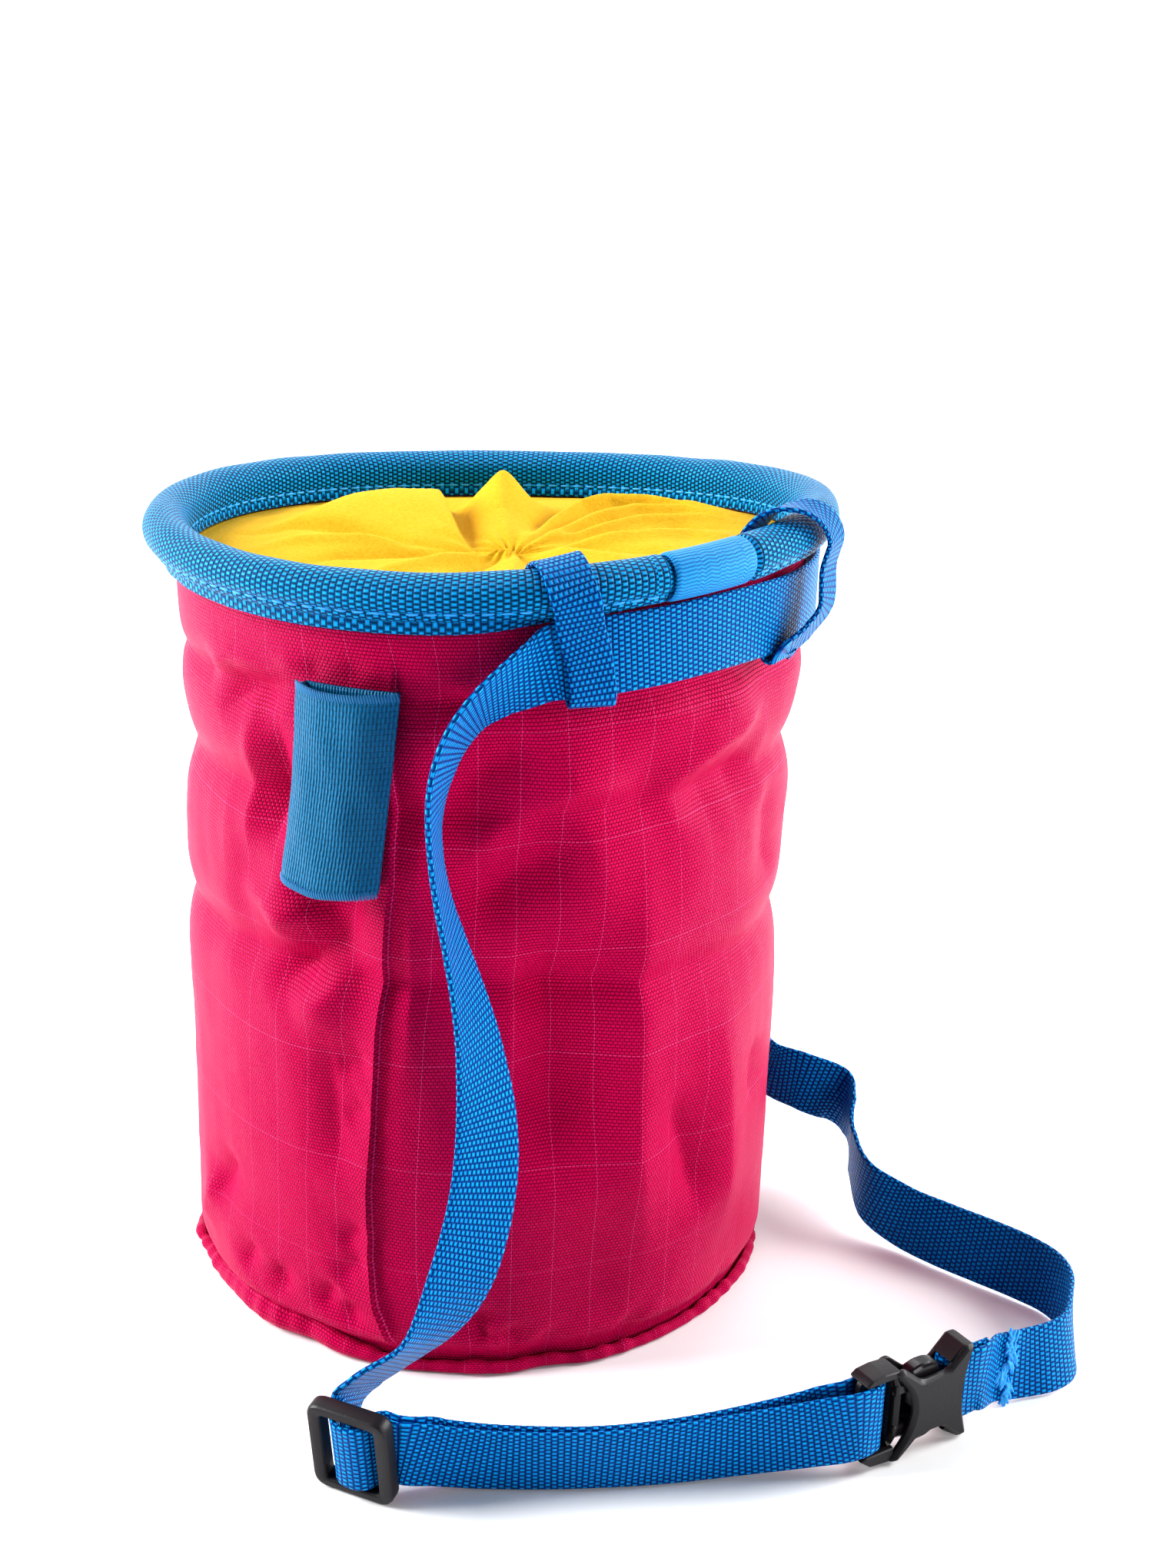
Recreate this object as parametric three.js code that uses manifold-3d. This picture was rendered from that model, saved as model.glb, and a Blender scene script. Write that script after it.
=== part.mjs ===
// Climbing chalk bag: a soft round bag with a stiff bound rim, a gathered closure,
// a brush holder and a belt that passes two loops and closes with a side-release buckle.
// Millimetres, +Z up. The origin is the centre of the base, on the floor. The front is -Y.
// Angles are in degrees round the Z axis from +X, so the front of the bag is at -90.
import * as THREE from 'three';
import Module from 'manifold-3d';
import { mergeVertices } from 'three/addons/utils/BufferGeometryUtils.js';

const wasm = await Module();
wasm.setup();

// Driving dimensions
const GAP = 0.3; // clearance between neighbouring pieces
const BAG_HEIGHT = 171; // floor to the top of the rim, before its tilt
const BODY_RADIUS = 65; // outside of the cloth tube
const WALL_CLOTH = 1; // thickness of the side wall
const CLOSURE_CLOTH = 1; // thickness of the gathered closure
const BASE_CLOTH = 1.2; // thickness of the base panel
const HEM_HEIGHT = 3.8; // height of the turned hem round the base
const HEM_CLOTH = 1.6; // thickness of the turned hem
const HEM_SETBACK = 1.2; // how far the hem's outside lies inside the body radius
const RIM_TUBE_RADIUS = 4.5; // the binding over its stiffening ring
const RIM_OVERHANG = 7; // how far the rim stands out beyond the body
const BINDING_CLOTH = 1.2; // thickness of each skirt of the binding
const SKIRT_DROP = 5.7; // from the centre of the rim tube to the skirts' lower edges
const SKIRT_SHORT = 1.2; // how much shorter the skirts are beside the joint of the binding
const RIM_TILT = 0.036; // rise of the rim per millimetre towards +X
const RIM_SADDLE = 1.6; // how far the rim is bent up at its sides, and down at front and back
const SADDLE_TURN = 14; // degrees that the bend is turned round from the sides
const SPLICE_CLOTH = 0.6; // sleeve over the joint of the binding
const LOOP_WIDTH = 9; // narrow webbing of the two belt loops
const LOOP_CLOTH = 1;
const BELT_WIDTH = 15;
const BELT_CLOTH = 1.1;
const BELT_DROP = 17.3; // from the rim's top down to the belt's middle at the left loop
const BELT_RISE = 2.4; // how much higher it runs at the right loop
const BRUSH_CLOTH = 1; // elastic of the brush holder
const BRUSH_HEIGHT = 38.8;
const BRUSH_DROP = 25; // from the rim's top down to the brush holder's mouth
const BRUSH_BULGE = 5; // room inside the brush holder, across its middle
const BRUSH_ARC = 18; // degrees of the body that it covers
const BRUSH_RIGHT = -103.6; // angle of the edge sewn into the side seam, at its mouth
const BRUSH_LEAN = 3.6; // degrees that it leans from its foot to its mouth
const SLIDER_LENGTH = 17; // along the belt
const SLIDER_HEIGHT = 20; // across the belt
const SLIDER_THICKNESS = 3.6;
const SLIDER_BAR = 2.8; // width of the slider's end bars
const SLIDER_CORNER = 2.2;
const BUCKLE_LENGTH = 20; // the socket, tip to tip along the belt
const BUCKLE_HEIGHT = 21; // tip to tip across the belt
const BUCKLE_THICKNESS = 7.2;
const PLUG_REACH = 7; // how far the plug's frame stands out of the socket
const PLUG_RISE = 0.9; // how much higher the plug's outer end is held
const PLUG_THICKNESS = 5.4;
const PLUG_WALL = 1.6; // the plug's frame beyond the belt's edges
const PRONG_THICKNESS = 3.4;
const MOULDED_BEVEL = 0.5; // bevel along the edges of the plastic pieces

// Places of the hardware: the angle round the bag and the distance from its axis in body radii,
// the heading of the belt there, and how far its top leans towards the front
const SLIDER_PLACE = { angle: -102.9, reach: 1.597, height: SLIDER_HEIGHT, heading: -27, lean: 9 };
const SOCKET_PLACE = { angle: -44.4, reach: 1.868, height: BUCKLE_HEIGHT, heading: 30, lean: 0 };

// Worked out from the driving dimensions
const HEM_RADIUS = BODY_RADIUS - HEM_SETBACK;
const RIM_RADIUS = BODY_RADIUS + RIM_OVERHANG;
const RING_RADIUS = RIM_RADIUS - RIM_TUBE_RADIUS;
const RING_HEIGHT = BAG_HEIGHT - RIM_TUBE_RADIUS;
const SLOT_TOP = RING_HEIGHT - 0.4 * RIM_TUBE_RADIUS;
const WALL_TOP_RADIUS = BODY_RADIUS + 2 * GAP;
const SLOT_OUTER = WALL_TOP_RADIUS + GAP;
const SLOT_INNER = WALL_TOP_RADIUS - WALL_CLOTH - GAP;
const SKIRT_OUTER = SLOT_OUTER + BINDING_CLOTH;
const SKIRT_INNER = SLOT_INNER - BINDING_CLOTH;
const BELT_RADIUS = SKIRT_OUTER + GAP + BELT_CLOTH / 2;
const ON_EDGE = GAP + BELT_WIDTH / 2; // height of the belt's middle where it stands on the floor
const WINDOW_HALF = BELT_WIDTH / 2 + GAP; // half the slots of the hardware, across the belt
const HOLD = GAP + BELT_CLOTH / 2; // from a bar's face to the middle of the belt against it
const LAYER = GAP + BELT_CLOTH; // from the middle of one layer to the next

// Bumps and dents of the side wall: where each is centred, how wide it is, and how far it
// stands out (+) or in (-). Heights are shares of the wall's height, swell is a share of the
// body radius, and lean is the degrees that a fold moves round from its foot to its top.
const WALL_FOLDS = [
  { angle: -93, lean: 6, width: 13, low: 0.3, high: 0.88, swell: -0.03 },
  { angle: -76, lean: -10, width: 9, low: 0.2, high: 0.62, swell: 0.006 },
  { angle: -62, lean: 22, width: 8, low: 0.34, high: 0.9, swell: -0.018 },
  { angle: -40, lean: 14, width: 12, low: 0.1, high: 0.75, swell: 0.008 },
  { angle: -14, lean: 0, width: 16, low: 0.6, high: 0.9, swell: 0.014 },
  { angle: -12, lean: 0, width: 18, low: 0.38, high: 0.66, swell: -0.008 },
  { angle: -113, lean: -4, width: 5, low: 0.34, high: 0.62, swell: -0.02 },
  { angle: -123, lean: 5, width: 7, low: 0.12, high: 0.6, swell: 0.006 },
  { angle: -136, lean: 8, width: 6, low: 0.4, high: 0.94, swell: -0.024 },
  { angle: -152, lean: -6, width: 9, low: 0.2, high: 0.8, swell: -0.01 },
  { angle: -171, lean: 0, width: 14, low: 0.34, high: 0.68, swell: 0.01 },
  { angle: -112, lean: 0, width: 16, low: 0.02, high: 0.14, swell: 0.014 },
  { angle: -140, lean: 0, width: 12, low: 0.02, high: 0.12, swell: 0.02 },
  { angle: -72, lean: 0, width: 9, low: 0.02, high: 0.2, swell: -0.018 },
  { angle: -50, lean: 0, width: 12, low: 0.02, high: 0.16, swell: 0.012 },
  { angle: 30, lean: 10, width: 14, low: 0.2, high: 0.8, swell: -0.014 },
  { angle: 72, lean: -8, width: 12, low: 0.3, high: 0.85, swell: 0.01 },
  { angle: 108, lean: 8, width: 15, low: 0.15, high: 0.7, swell: -0.02 },
  { angle: 148, lean: -6, width: 13, low: 0.3, high: 0.9, swell: 0.009 },
];

// Waves of the hem where it meets the floor: swell is a share of the body radius
const HEM_WAVES = [
  { angle: -172, width: 13, swell: 0.03 },
  { angle: -146, width: 9, swell: -0.008 },
  { angle: -124, width: 9, swell: -0.02 },
  { angle: -104, width: 8, swell: 0.006 },
  { angle: -77, width: 9, swell: -0.02 },
  { angle: -20, width: 18, swell: 0.008 },
  { angle: 60, width: 20, swell: 0.012 },
];

// Folds of the gathered closure, spreading from the twist: the angle and half width of each,
// its height in rim tube radii, where along its reach it is highest, and how many degrees it
// swirls on its way out
const CLOSURE_FOLDS = [
  { angle: 150, width: 18, height: 0.15, crest: 0.5, swirl: 6 },
  { angle: 129, width: 11, height: 0.5, crest: 0.44, swirl: 6 },
  { angle: 109, width: 6, height: -1.1, crest: 0.4, swirl: 0 },
  { angle: 94, width: 8, height: 1.3, crest: 0.5, swirl: -4 },
  { angle: 80, width: 7, height: -0.5, crest: 0.45, swirl: -20 },
  { angle: 65, width: 8, height: 0.7, crest: 0.5, swirl: -26 },
  { angle: 48, width: 6, height: -0.45, crest: 0.5, swirl: -26 },
  { angle: 33, width: 7, height: 0.6, crest: 0.5, swirl: -24 },
  { angle: 15, width: 6, height: -0.4, crest: 0.5, swirl: -20 },
  { angle: -4, width: 9, height: 0.5, crest: 0.5, swirl: -16 },
  { angle: -34, width: 12, height: -0.5, crest: 0.5, swirl: -10 },
  { angle: -62, width: 10, height: 0.3, crest: 0.5, swirl: 0 },
  { angle: -92, width: 11, height: -0.5, crest: 0.5, swirl: 6 },
  { angle: -126, width: 12, height: 0.3, crest: 0.5, swirl: 10 },
  { angle: -152, width: 8, height: -0.5, crest: 0.45, swirl: 12 },
  { angle: -174, width: 11, height: 0.35, crest: 0.4, swirl: 14 },
];
const TWIST = { x: 0.06, y: -0.24 }; // centre of the gathers, as shares of the body radius
const CLOSURE_PUFF = 0.95; // rise of the closure between its edge and its twist, in tube radii

// The belt from the slider up to the left loop: angle round the bag, distance from the axis in
// belt radii, height as a share of the bag's height, and the direction of the edge that is
// uppermost at the loops
const HANGING_BELT = [
  { angle: -104.9, reach: 1.4, height: 0.088, edge: [-0.24, -0.68, 0.7] },
  { angle: -103.2, reach: 1.385, height: 0.109, edge: [-0.18, -0.72, 0.67] },
  { angle: -100.7, reach: 1.365, height: 0.126, edge: [-0.18, -0.74, 0.65] },
  { angle: -98.3, reach: 1.346, height: 0.141, edge: [-0.32, -0.77, 0.55] },
  { angle: -96, reach: 1.328, height: 0.162, edge: [-0.56, -0.7, 0.44] },
  { angle: -93.9, reach: 1.308, height: 0.193, edge: [-0.76, -0.56, 0.33] },
  { angle: -92.3, reach: 1.287, height: 0.228, edge: [-0.82, -0.45, 0.34] },
  { angle: -91, reach: 1.251, height: 0.265, edge: [-0.84, -0.45, 0.31] },
  { angle: -90, reach: 1.216, height: 0.306, edge: [-0.83, -0.48, 0.28] },
  { angle: -89.5, reach: 1.182, height: 0.348, edge: [-0.8, -0.52, 0.29] },
  { angle: -89.6, reach: 1.154, height: 0.391, edge: [-0.73, -0.6, 0.31] },
  { angle: -90.3, reach: 1.138, height: 0.442, edge: [-0.6, -0.71, 0.35] },
  { angle: -91.4, reach: 1.132, height: 0.496, edge: [-0.47, -0.8, 0.37] },
  { angle: -92.9, reach: 1.134, height: 0.549, edge: [-0.35, -0.85, 0.38] },
  { angle: -94.4, reach: 1.14, height: 0.596, edge: [-0.25, -0.88, 0.38] },
  { angle: -95.8, reach: 1.149, height: 0.643, edge: [-0.16, -0.91, 0.38] },
  { angle: -96.7, reach: 1.159, height: 0.691, edge: [-0.11, -0.91, 0.4] },
  { angle: -96.9, reach: 1.165, height: 0.738, edge: [-0.1, -0.88, 0.46] },
  { angle: -96.2, reach: 1.161, height: 0.784, edge: [-0.15, -0.86, 0.48] },
  { angle: -94.5, reach: 1.145, height: 0.824, edge: [-0.18, -0.85, 0.5] },
  { angle: -91.6, reach: 1.112, height: 0.855, edge: [-0.18, -0.8, 0.57] },
  { angle: -87.4, reach: 1.065, height: 0.876, edge: [-0.2, -0.66, 0.72] },
  { angle: -83.4, reach: 1.027, height: 0.888, edge: [-0.1, -0.36, 0.93] },
  { angle: -80.4, reach: 1.009, height: 0.896, edge: [-0.01, -0.06, 1] },
];

// The hidden stretch: round the back below the rim, then down behind the bag's right side
const HIDDEN_BELT = [
  { angle: 6, reach: 1.0, height: 0.9, edge: [0, 0, 1] },
  { angle: 18, reach: 1.0, height: 0.875, edge: [-0.12, 0.25, 0.95] },
  { angle: 28, reach: 1.0, height: 0.815, edge: [-0.35, 0.55, 0.72] },
  { angle: 34, reach: 1.0, height: 0.73, edge: [-0.5, 0.75, 0.42] },
  { angle: 37, reach: 1.0, height: 0.63, edge: [-0.6, 0.8, 0.12] },
  { angle: 38, reach: 1.0, height: 0.52, edge: [-0.61, 0.79, 0] },
  { angle: 37, reach: 1.0, height: 0.41, edge: [-0.6, 0.8, -0.12] },
  { angle: 33.5, reach: 1.01, height: 0.3, edge: [-0.45, 0.72, -0.5] },
  { angle: 27, reach: 1.035, height: 0.21, edge: [-0.25, 0.5, -0.83] },
  { angle: 18.5, reach: 1.075, height: 0.162, edge: [-0.1, 0.15, -0.98] },
];

// The belt from behind the bag, down to the floor and along it on edge to the buckle's socket:
// angle round the bag, distance from the axis in belt radii, height of its middle above its
// place on the floor in belt widths, and the degrees that its upper edge leans away from the bag
const BACK_RUN = [
  { angle: 13.1, reach: 1.171, lifted: 1.22, lean: 4 },
  { angle: 10.6, reach: 1.286, lifted: 1.02, lean: 2 },
  { angle: 7.4, reach: 1.308, lifted: 0.84, lean: -3 },
  { angle: 1.3, reach: 1.29, lifted: 0.53, lean: -4 },
  { angle: -4.8, reach: 1.322, lifted: 0.26, lean: -1 },
  { angle: -8.4, reach: 1.44, lifted: 0.05, lean: 10 },
  { angle: -11.5, reach: 1.58, lifted: 0, lean: 18 },
  { angle: -13.8, reach: 1.705, lifted: 0, lean: 19 },
  { angle: -15.9, reach: 1.83, lifted: 0, lean: 16 },
  { angle: -17.9, reach: 1.925, lifted: 0, lean: 9 },
  { angle: -20.4, reach: 1.982, lifted: 0, lean: 2 },
  { angle: -24, reach: 2.012, lifted: 0, lean: -6 },
  { angle: -27.6, reach: 2.028, lifted: 0, lean: -13 },
  { angle: -29.9, reach: 1.995, lifted: 0, lean: -14 },
  { angle: -32.3, reach: 1.928, lifted: 0, lean: -10 },
  { angle: -34.8, reach: 1.878, lifted: 0.06, lean: -4 },
];

// The doubled front run between the slider and the buckle's plug: a place along it as a share of
// its length, how far it bows towards the front as a share of the belt's width, how far the rear
// layer lies behind the front one in belt thicknesses, its height above its place on the floor in
// belt widths, and the degrees that its top leans towards the front
const FRONT_RUN = [
  { along: 0.08, bow: -0.03, apart: 1.8, lifted: 0.1, lean: 9 },
  { along: 0.2, bow: -0.03, apart: 1.8, lifted: 0, lean: 11 },
  { along: 0.4, bow: 0.06, apart: 1.45, lifted: 0, lean: 12 },
  { along: 0.58, bow: 0.02, apart: 1.45, lifted: 0, lean: 9 },
  { along: 0.74, bow: -0.06, apart: 1.9, lifted: 0.03, lean: 5 },
  { along: 0.9, bow: -0.05, apart: 3.2, lifted: 0.14, lean: 1 },
];

const DEG = Math.PI / 180;
const { lerp, smoothstep } = THREE.MathUtils;

const PINK = new THREE.MeshStandardMaterial({ color: 0xc81e5c, roughness: 0.8, metalness: 0 });
const BLUE = new THREE.MeshStandardMaterial({ color: 0x1173c0, roughness: 0.7, metalness: 0 });
const TEAL = new THREE.MeshStandardMaterial({ color: 0x0c6fa6, roughness: 0.8, metalness: 0 });
const YELLOW = new THREE.MeshStandardMaterial({ color: 0xd8a81c, roughness: 0.9, metalness: 0 });
const BLACK = new THREE.MeshStandardMaterial({ color: 0x1d1c1e, roughness: 0.45, metalness: 0 });

const UPWARD = new THREE.Vector3(0, 0, 1);

const polar = (radius, degrees, height) =>
  new THREE.Vector3(radius * Math.cos(degrees * DEG), radius * Math.sin(degrees * DEG), height);

// Smooth bump, 1 at its middle and 0 at one width to either side
const bump = (offset, width) => 0.5 + 0.5 * Math.cos(Math.PI * Math.min(Math.abs(offset) / width, 1));

const turnBetween = (a, b) => ((((a - b) % 360) + 540) % 360) - 180;

// The rim rises towards +X and is bent a little, its sides up and its front and back down
const rimLift = (degrees) => RIM_TILT * RIM_RADIUS * Math.cos(degrees * DEG)
  + RIM_SADDLE * Math.cos(2 * (degrees + SADDLE_TURN) * DEG);

// Joins a triangle mesh's shared vertices, drops empty triangles and turns its faces outwards
function closedBody(positions, index) {
  const loose = new THREE.BufferGeometry();
  loose.setAttribute('position', new THREE.Float32BufferAttribute(positions, 3));
  loose.setIndex(index);
  const merged = mergeVertices(loose, 1e-4);
  const place = merged.getAttribute('position');
  const triangles = [];
  let volume = 0;
  for (let i = 0; i < merged.index.count; i += 3) {
    const corners = [0, 1, 2].map((k) => merged.index.getX(i + k));
    if (new Set(corners).size < 3) continue;
    triangles.push(corners);
    const [a, b, c] = corners.map((k) => new THREE.Vector3().fromBufferAttribute(place, k));
    volume += a.dot(b.cross(c));
  }
  const outward = volume > 0 ? triangles : triangles.map(([a, b, c]) => [a, c, b]);
  const body = new THREE.BufferGeometry();
  body.setAttribute('position', place);
  body.setIndex(outward.flat());
  body.computeVertexNormals();
  return body;
}

// A sheet with thickness: each section has a front and a back row of as many points. The
// sections are joined in order, and closed into a ring when asked.
function sheetBody(sections, ring) {
  const count = sections[0].front.length;
  const positions = sections.flatMap(({ front, back }) =>
    [...front, ...back].flatMap((point) => [point.x, point.y, point.z]));
  const index = [];
  const at = (i, side, j) => (i % sections.length) * 2 * count + side * count + j;
  const quad = (a, b, c, d) => index.push(a, b, c, a, c, d);
  const spans = ring ? sections.length : sections.length - 1;
  const last = count - 1;
  for (let i = 0; i < spans; i++) {
    for (let j = 0; j < last; j++) {
      quad(at(i, 0, j), at(i, 0, j + 1), at(i + 1, 0, j + 1), at(i + 1, 0, j));
      quad(at(i, 1, j), at(i + 1, 1, j), at(i + 1, 1, j + 1), at(i, 1, j + 1));
    }
    quad(at(i, 0, 0), at(i + 1, 0, 0), at(i + 1, 1, 0), at(i, 1, 0));
    quad(at(i, 0, last), at(i, 1, last), at(i + 1, 1, last), at(i + 1, 0, last));
  }
  for (let j = 0; j < last && !ring; j++) {
    quad(at(0, 0, j), at(0, 1, j), at(0, 1, j + 1), at(0, 0, j + 1));
    quad(at(spans, 0, j), at(spans, 0, j + 1), at(spans, 1, j + 1), at(spans, 1, j));
  }
  return closedBody(positions, index);
}

// Sections at even steps all the way round, and at any extra angles
function around(steps, section, extra = []) {
  const even = Array.from({ length: steps }, (_, i) => (360 * i) / steps - 180);
  return [...even, ...extra].sort((a, b) => a - b).map(section);
}

function named(name, geometry, material) {
  const mesh = new THREE.Mesh(geometry, material);
  mesh.name = name;
  return mesh;
}

// Side wall, whose foot stands inside the hem and whose top is held in the rim's slot
const WALL_BOTTOM = BASE_CLOTH + GAP;
const WALL_TOP = SLOT_TOP - GAP;
const WALL_ROWS = [0, 0.03, 0.09, 0.19, 0.32, 0.46, 0.6, 0.74, 0.88, 0.95, 1];

const hemRadius = (degrees) => HEM_RADIUS + BODY_RADIUS * HEM_WAVES.reduce((sum, wave) =>
  sum + wave.swell * bump(turnBetween(degrees, wave.angle), wave.width), 0);

function wallRadius(degrees, share) {
  let swell = 0;
  for (const fold of WALL_FOLDS) {
    const middle = (fold.low + fold.high) / 2;
    const tall = fold.high - fold.low;
    const centre = fold.angle + (fold.lean * (share - middle)) / tall;
    const along = bump(share - middle, tall / 2 + 0.06);
    swell += fold.swell * along * bump(turnBetween(degrees, centre), 1.6 * fold.width);
  }
  const tucked = hemRadius(degrees) - HEM_CLOTH - 1.5 * GAP;
  const free = lerp(tucked, BODY_RADIUS * (1 + swell), smoothstep(share, 0, 0.07));
  return lerp(free, WALL_TOP_RADIUS, smoothstep(share, 0.84, 0.95));
}

function sideWall() {
  const sections = around(60, (degrees) => {
    const row = (inset) => WALL_ROWS.map((share) => polar(
      wallRadius(degrees, share) - inset,
      degrees,
      lerp(WALL_BOTTOM, WALL_TOP + rimLift(degrees), share),
    ));
    return { front: row(0), back: row(WALL_CLOTH) };
  });
  return named('side_wall', sheetBody(sections, true), PINK);
}

// Base: a flat disc whose edge is turned up into a standing hem round the foot of the wall
function basePanel() {
  const sections = around(60, (degrees) => {
    const radius = hemRadius(degrees);
    const inside = radius - HEM_CLOTH;
    return {
      front: [
        new THREE.Vector3(0, 0, BASE_CLOTH),
        polar(0.55 * HEM_RADIUS, degrees, BASE_CLOTH),
        polar(inside, degrees, BASE_CLOTH),
        polar(inside + 0.4 * HEM_CLOTH, degrees, 0.5 * HEM_HEIGHT),
        polar(inside + 0.9 * HEM_CLOTH, degrees, HEM_HEIGHT),
      ],
      back: [
        new THREE.Vector3(0, 0, 0),
        polar(0.55 * HEM_RADIUS, degrees, 0),
        polar(radius - 0.35 * HEM_CLOTH, degrees, 0),
        polar(radius + 0.4 * HEM_CLOTH, degrees, 0.35 * HEM_HEIGHT),
        polar(radius + 0.6 * HEM_CLOTH, degrees, 0.9 * HEM_HEIGHT),
      ],
    };
  });
  return named('base_panel', sheetBody(sections, true), PINK);
}

// Rim: webbing bound round a stiff ring, with a skirt inside and outside the wall and a slot
// between them. Under the sleeve over its joint the tube is thinner.
const SPLICE_ARC = { from: -62.5, to: -46.8, clear: 0.4, step: 1.1 };
const TUBE_ANGLES = [-46, -14, 18, 50, 82, 114, 146, 178];

const skirtBottom = (degrees) =>
  RING_HEIGHT - SKIRT_DROP + rimLift(degrees) + SKIRT_SHORT * bump(turnBetween(degrees, -52), 40);

const tubeRadius = (degrees) => {
  const { from, to, clear } = SPLICE_ARC;
  const inside = degrees >= from - clear - 0.01 && degrees <= to + clear + 0.01;
  return RIM_TUBE_RADIUS - (inside ? SPLICE_CLOTH + GAP : 0);
};

const tubePoint = (degrees, radius, turn) => polar(
  RING_RADIUS + radius * Math.cos(turn * DEG),
  degrees,
  RING_HEIGHT + rimLift(degrees) + radius * Math.sin(turn * DEG),
);

function rimBinding() {
  const { from, to, clear, step } = SPLICE_ARC;
  const edges = [from - step, from - clear, to + clear, to + step];
  const sections = around(48, (degrees) => {
    const centre = RING_HEIGHT + rimLift(degrees);
    const bottom = skirtBottom(degrees);
    const top = SLOT_TOP + rimLift(degrees);
    const tube = TUBE_ANGLES.map((turn) => tubePoint(degrees, tubeRadius(degrees), turn));
    const front = [
      polar(SKIRT_OUTER, degrees, bottom),
      polar(SKIRT_OUTER, degrees, lerp(bottom, centre, 0.25)),
      ...tube,
      polar(SKIRT_INNER, degrees, lerp(bottom, centre, 0.5)),
      polar(SKIRT_INNER, degrees, bottom),
    ];
    const half = front.length / 2;
    const back = front.map((_, j) => (j < half
      ? polar(SLOT_OUTER, degrees, lerp(bottom, top, j / (half - 1)))
      : polar(SLOT_INNER, degrees, lerp(top, bottom, (j - half) / (half - 1)))));
    return { front, back };
  }, edges);
  return named('rim_binding', sheetBody(sections, true), BLUE);
}

function rimSplice() {
  const { from, to } = SPLICE_ARC;
  const inner = RIM_TUBE_RADIUS - SPLICE_CLOTH;
  const steps = 4;
  const sections = Array.from({ length: steps + 1 }, (_, i) => {
    const degrees = lerp(from, to, i / steps);
    const row = (radius) => TUBE_ANGLES.map((turn) => tubePoint(degrees, radius, turn));
    return { front: row(RIM_TUBE_RADIUS), back: row(inner) };
  });
  return named('rim_splice', sheetBody(sections, false), BLUE);
}

// Closure: cloth held under the inner skirt, which puffs up and gathers into a twist
const CLOSURE_ROWS = [0, 0.1, 0.24, 0.38, 0.52, 0.66, 0.8, 0.91, 0.97, 1];

function closureHeight(spoke, share) {
  const puff = CLOSURE_PUFF * Math.sin(Math.PI * Math.min(share / 0.97, 1)) ** 0.8;
  const folds = CLOSURE_FOLDS.reduce((sum, fold) => {
    const centre = fold.angle + fold.swirl * share;
    const wide = 1.5 * fold.width * (1.25 - 0.3 * share);
    return sum + fold.height * bump(share - fold.crest, 0.46) * bump(turnBetween(spoke, centre), wide);
  }, 0);
  return RIM_TUBE_RADIUS * (puff + folds);
}

function closure() {
  const centre = new THREE.Vector3(TWIST.x * BODY_RADIUS, TWIST.y * BODY_RADIUS, 0);
  const sections = around(60, (degrees) => {
    const edge = polar(SLOT_INNER, degrees, 0);
    const spoke = Math.atan2(edge.y - centre.y, edge.x - centre.x) / DEG;
    const row = (depth) => CLOSURE_ROWS.map((share) => {
      const level = lerp(RING_HEIGHT - SKIRT_DROP, skirtBottom(degrees), share) - GAP;
      const point = centre.clone().lerp(edge, share);
      const height = level + (share ? closureHeight(spoke, share) : 0);
      return new THREE.Vector3(point.x, point.y, height - depth);
    });
    return { front: row(0), back: row(1.3 * CLOSURE_CLOTH) };
  });
  return named('closure', sheetBody(sections, true), YELLOW);
}

// Brush holder: a D-shaped elastic tube, flat against the body and bulging out, whose right edge
// is sewn into the side seam. It leans, so each level is turned a little.
function brushHolder() {
  const flat = BODY_RADIUS + 2 * GAP;
  const bulging = Array.from({ length: 11 }, (_, i) => ({ across: i / 10, bulges: true }));
  const lying = Array.from({ length: 7 }, (_, i) => ({ across: (7 - i) / 8, bulges: false }));
  const inset = (BRUSH_CLOTH / flat) / DEG;
  const sections = [...bulging, ...lying].map(({ across, bulges }) => {
    const rise = Math.sin(Math.PI * (0.04 + 0.92 * across)) ** 0.7;
    const inner = flat + BRUSH_CLOTH + (bulges ? BRUSH_BULGE * rise : 0);
    const outer = bulges ? inner + BRUSH_CLOTH : flat;
    const row = (radius, shift) => [0, 0.33, 0.66, 1].map((level) => polar(
      radius,
      BRUSH_RIGHT - BRUSH_LEAN * (1 - level) - BRUSH_ARC * across - shift,
      BAG_HEIGHT - BRUSH_DROP - BRUSH_HEIGHT * (1 - level),
    ));
    return { front: row(outer, 0), back: row(inner, inset * (1 - 2 * across)) };
  });
  return named('brush_holder', sheetBody(sections, true), TEAL);
}

// A strap swept along stations, each with a point and the direction of one edge. Sections lie at
// the stations, and between them where they are further apart than the spacing.
function strapBody(stations, spacing, width, cloth) {
  const points = stations.map(({ point }) => point);
  const line = new THREE.CatmullRomCurve3(points, false, 'centripetal');
  const edges = new THREE.CatmullRomCurve3(stations.map(({ edge }) => edge), false, 'centripetal');
  const spans = stations.length - 1;
  const places = [];
  for (let i = 0; i < spans; i++) {
    const parts = Math.max(1, Math.round(points[i].distanceTo(points[i + 1]) / spacing));
    for (let k = 0; k < parts; k++) places.push((i + k / parts) / spans);
  }
  places.push(1);
  const sections = places.map((along) => {
    const point = line.getPoint(along);
    const forward = line.getTangent(along);
    const edge = edges.getPoint(along);
    edge.addScaledVector(forward, -edge.dot(forward)).setLength(width / 2);
    const facing = forward.clone().cross(edge).setLength(cloth / 2);
    const row = (side) => [-1, 1].map((end) =>
      point.clone().addScaledVector(edge, end).addScaledVector(facing, side));
    return { front: row(1), back: row(-1) };
  });
  return sheetBody(sections, false);
}

const station = (point, edge) => ({ point, edge: edge.clone().normalize() });

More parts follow.
